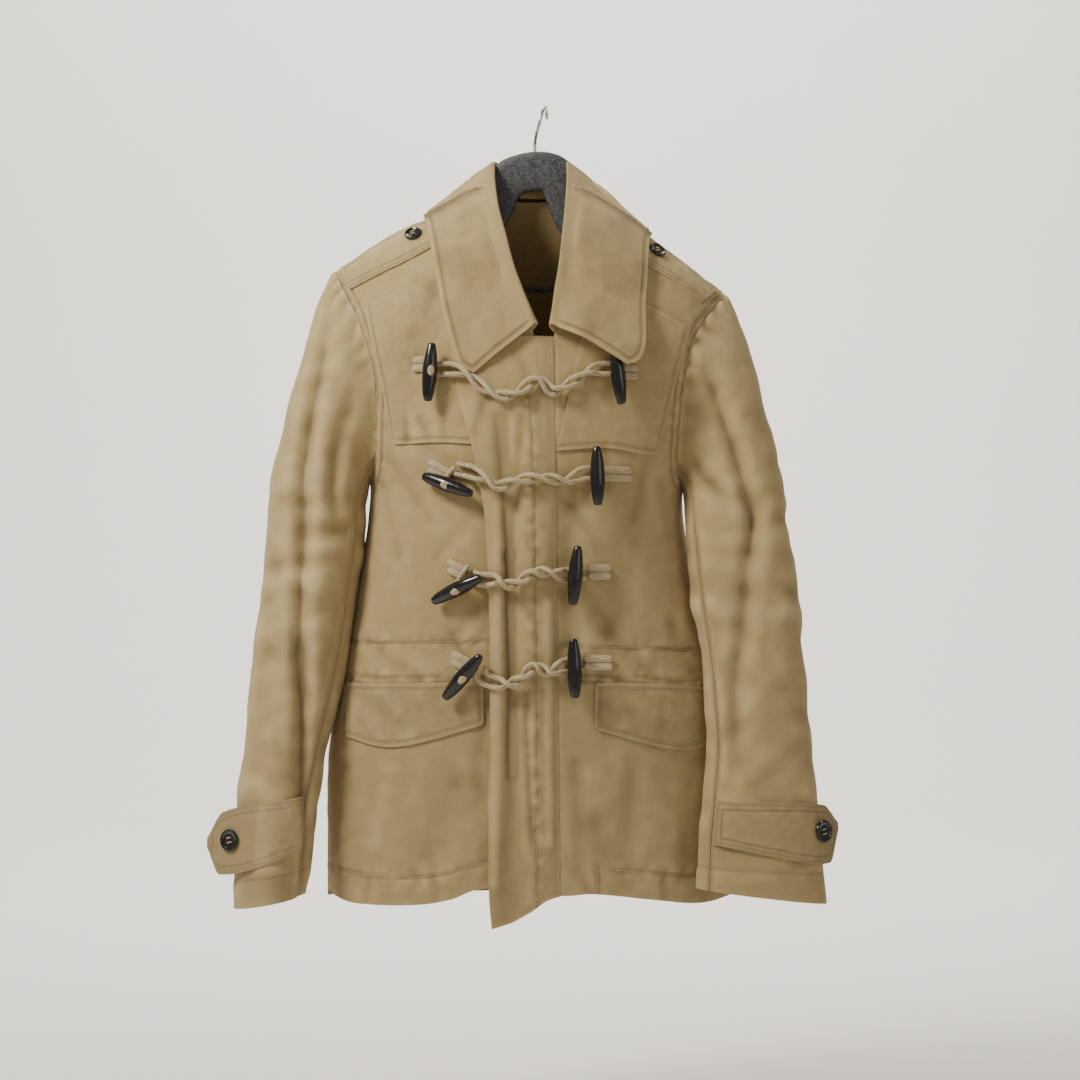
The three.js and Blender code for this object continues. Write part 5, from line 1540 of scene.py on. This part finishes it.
EDGE_ROWS = [
    ("collar", "high", 6.5, (6.5, 6.5)),
    ("collar", "start", 6.5, (38, 6.5)), ("collar", "end", 6.5, (38, 6.5)),
    ("storm_patch_right", "start", 5.5, (5.5, 0)), ("storm_patch_right", "low", 5.5, (5.5, 0)),
    ("storm_patch_left", "end", 5.5, (5.5, 0)), ("storm_patch_left", "low", 5.5, (0, 5.5)),
    ("front_lap", "low", 9.0, (0, 0)), ("front_lap", "end", 2.2, (0, 0)),
]
for which in ("right", "left"):
    for edge in ("low", "high", "start", "end"):
        EDGE_ROWS.append((f"pocket_flap_{which}", edge, 5.5, (5.5, 5.5)))
        EDGE_ROWS.append((f"cuff_tab_{which}", edge, 2.5, (2.5, 2.5)))
    for inset in (2.5, 8.0):
        EDGE_ROWS.append((f"shoulder_strap_{which}", "low", inset, (0, 0)))
        EDGE_ROWS.append((f"shoulder_strap_{which}", "high", inset, (0, 0)))
    EDGE_ROWS.append((f"sleeve_upper_{which}", "start", 2.2, (4, 0)))
    EDGE_ROWS.append((f"sleeve_upper_{which}", "end", 2.2, (4, 0)))
    EDGE_ROWS.append((f"sleeve_upper_{which}", "high", 26.0, (0, 0)))
    EDGE_ROWS.append((f"sleeve_under_{which}", "high", 26.0, (0, 0)))
for name, edge, inset, trim in EDGE_ROWS:
    edge_row(name, edge, inset, trim)
print("rows along edges:", len(EDGE_ROWS))


def cast_row(name, pieces, line, side, gap=0.1):
    bpy.context.view_layer.update()
    corners = np.array([(x, 0, z) for x, z in line], float)
    far = lengths(corners)
    hits = []
    for s in np.arange(0, far[-1], 1.5):
        x, z = (np.interp(s, far, corners[:, k]) for k in (0, 2))
        found = [p.ray_cast((x * MM, side * 0.4, z * MM), (0, -side, 0)) for p in pieces]
        found = [(hit[1], hit[2]) for hit in found if hit[0]]
        if found:
            hits.append(min(found, key=lambda h: -side * h[0].y))
    if len(hits) < 6:
        return
    points = np.array([tuple(h[0]) for h in hits]) / MM
    padded = np.pad(points, ((2, 2), (0, 0)), mode="edge")
    points = np.stack([np.convolve(padded[:, k], np.ones(5) / 5, "valid") for k in range(3)], 1)
    sew(name, points, np.array([tuple(h[1]) for h in hits]), gap)


for k, line in enumerate(FRONT_LINES):
    cast_row(f"thread_front_{k}", (front_right, front_left), line, -1)
cast_row("thread_lap", (front_lap,), LAP_LINE, -1)
for k, line in enumerate(BACK_LINES):
    cast_row(f"thread_back_{k}", (back,), line, 1)
for (which, inset), line in ARMHOLE_LINES.items():
    laid = [bpy.data.objects[n] for n in (f"coat_front_{which}", f"coat_shoulder_strap_{which}")]
    cast_row(f"thread_armhole_{which}_{inset:g}".replace(".", "_"), laid, line, -1)

# %% [markdown]
# ## What the cloth was before it was sewn
# Each piece was cut flat. Its flat size is the longest row and column of its grid, and the area of
# the cut follows from the grid's own small cells, so curved edges count as they are.
# %% Sheets
def cut_size(name):
    points, normals, along, up, thick = GRIDS[name]
    a, b = points[1:, 1:] - points[:-1, :-1], points[1:, :-1] - points[:-1, 1:]
    area = float(np.linalg.norm(np.cross(a, b), axis=-1).sum()) / 2
    wide, long = float(along[:, -1].max()), float(up[-1].max())
    return wide * MM, long * MM, min(area, wide * long) * MM * MM


for name in GRIDS:
    wide, long, area = cut_size(name)
    if name in ("coat_front_right", "coat_front_left", "coat_back"):
        held, rests = "hung", ["hanger_board"]
    elif name == "coat_collar":
        held, rests = "folded", ["coat_back", "coat_front_right", "coat_front_left"]
    elif "sleeve" in name:
        held, rests = "hung", ["coat_back", "coat_front_" + name.split("_")[-1]]
    elif "cuff" in name:
        held, rests = "laid", ["coat_sleeve_upper_" + name.split("_")[-1]]
    elif name == "coat_front_lap":
        held, rests = "hung", ["coat_front_left"]
    else:
        held, rests = "laid", ["coat_front_" + name.split("_")[-1]]
    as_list(rests)
    print(f"{name}: flat {wide * 1000:.0f} x {long * 1000:.0f} mm, {area * 1e4:.0f} cm2, {held}")

# %% [markdown]
# ## Studio
# A pale floor that sweeps up behind the coat, a broad soft light from the upper left, a weaker one
# from the right and a bright sky around them give the even light of the picture.
# %% Floor and lights
FLOOR_Z = -1.08


def pale(name, colour):
    material, nodes, links, surface = shader(name, 0.85)
    spot = nodes.new("ShaderNodeTexCoord")
    mottle = node(nodes, "ShaderNodeTexNoise", Scale=1.6, Detail=6.0, Roughness=0.6)
    links.new(spot.outputs["Object"], mottle.inputs["Vector"])
    darker = tuple(c * 0.94 for c in colour[:3]) + (1,)
    links.new(blend_colour(nodes, links, colour, darker, mottle.outputs["Fac"]), surface.inputs["Base Color"])
    return material


bpy.ops.object.select_all(action="DESELECT")
bpy.ops.mesh.primitive_grid_add(x_subdivisions=4, y_subdivisions=60, size=1)
floor = bpy.context.object
floor.name = "studio_floor"
SWEEP = 1.6
for vertex in floor.data.vertices:
    s = vertex.co.y + 0.5
    along = -6 + s * 16
    bend = (along - 3.2) / SWEEP
    if bend <= 0:
        y, z = along, 0
    elif bend < math.pi / 2:
        y, z = 3.2 + SWEEP * math.sin(bend), SWEEP * (1 - math.cos(bend))
    else:
        y, z = 3.2 + SWEEP, SWEEP + (bend - math.pi / 2) * SWEEP
    vertex.co = (vertex.co.x * 16, y, z + FLOOR_Z)
floor.data.materials.append(pale("pale_plaster", (0.80, 0.765, 0.73, 1)))
bpy.ops.object.shade_smooth()


def soft_light(name, place, target, size, power, colour):
    bpy.ops.object.select_all(action="DESELECT")
    bpy.ops.object.light_add(type="AREA", location=place)
    light = bpy.context.object
    light.name = name
    light.data.shape = "DISK"
    light.data.size = size
    light.data.energy = power
    light.data.color = colour
    light.rotation_euler = (Vector(target) - Vector(place)).to_track_quat("-Z", "Y").to_euler()


AIM = (0, 0, -0.4)
soft_light("key_light", (-1.5, -1.1, 1.2), (0, 0, -0.3), 0.75, 66, (1.0, 0.97, 0.92))
soft_light("fill_light", (2.2, -2.4, 0.4), AIM, 2.0, 12, (1.0, 0.98, 0.96))
soft_light("wall_light", (0.0, 1.2, 2.9), (0, 4.8, 0.9), 2.5, 430, (1.0, 0.97, 0.93))
world = bpy.data.worlds.new("studio_sky")
bpy.context.scene.world = world
world.use_nodes = True
world.node_tree.nodes["Background"].inputs["Color"].default_value = (0.93, 0.92, 0.90, 1)
world.node_tree.nodes["Background"].inputs["Strength"].default_value = 0.30
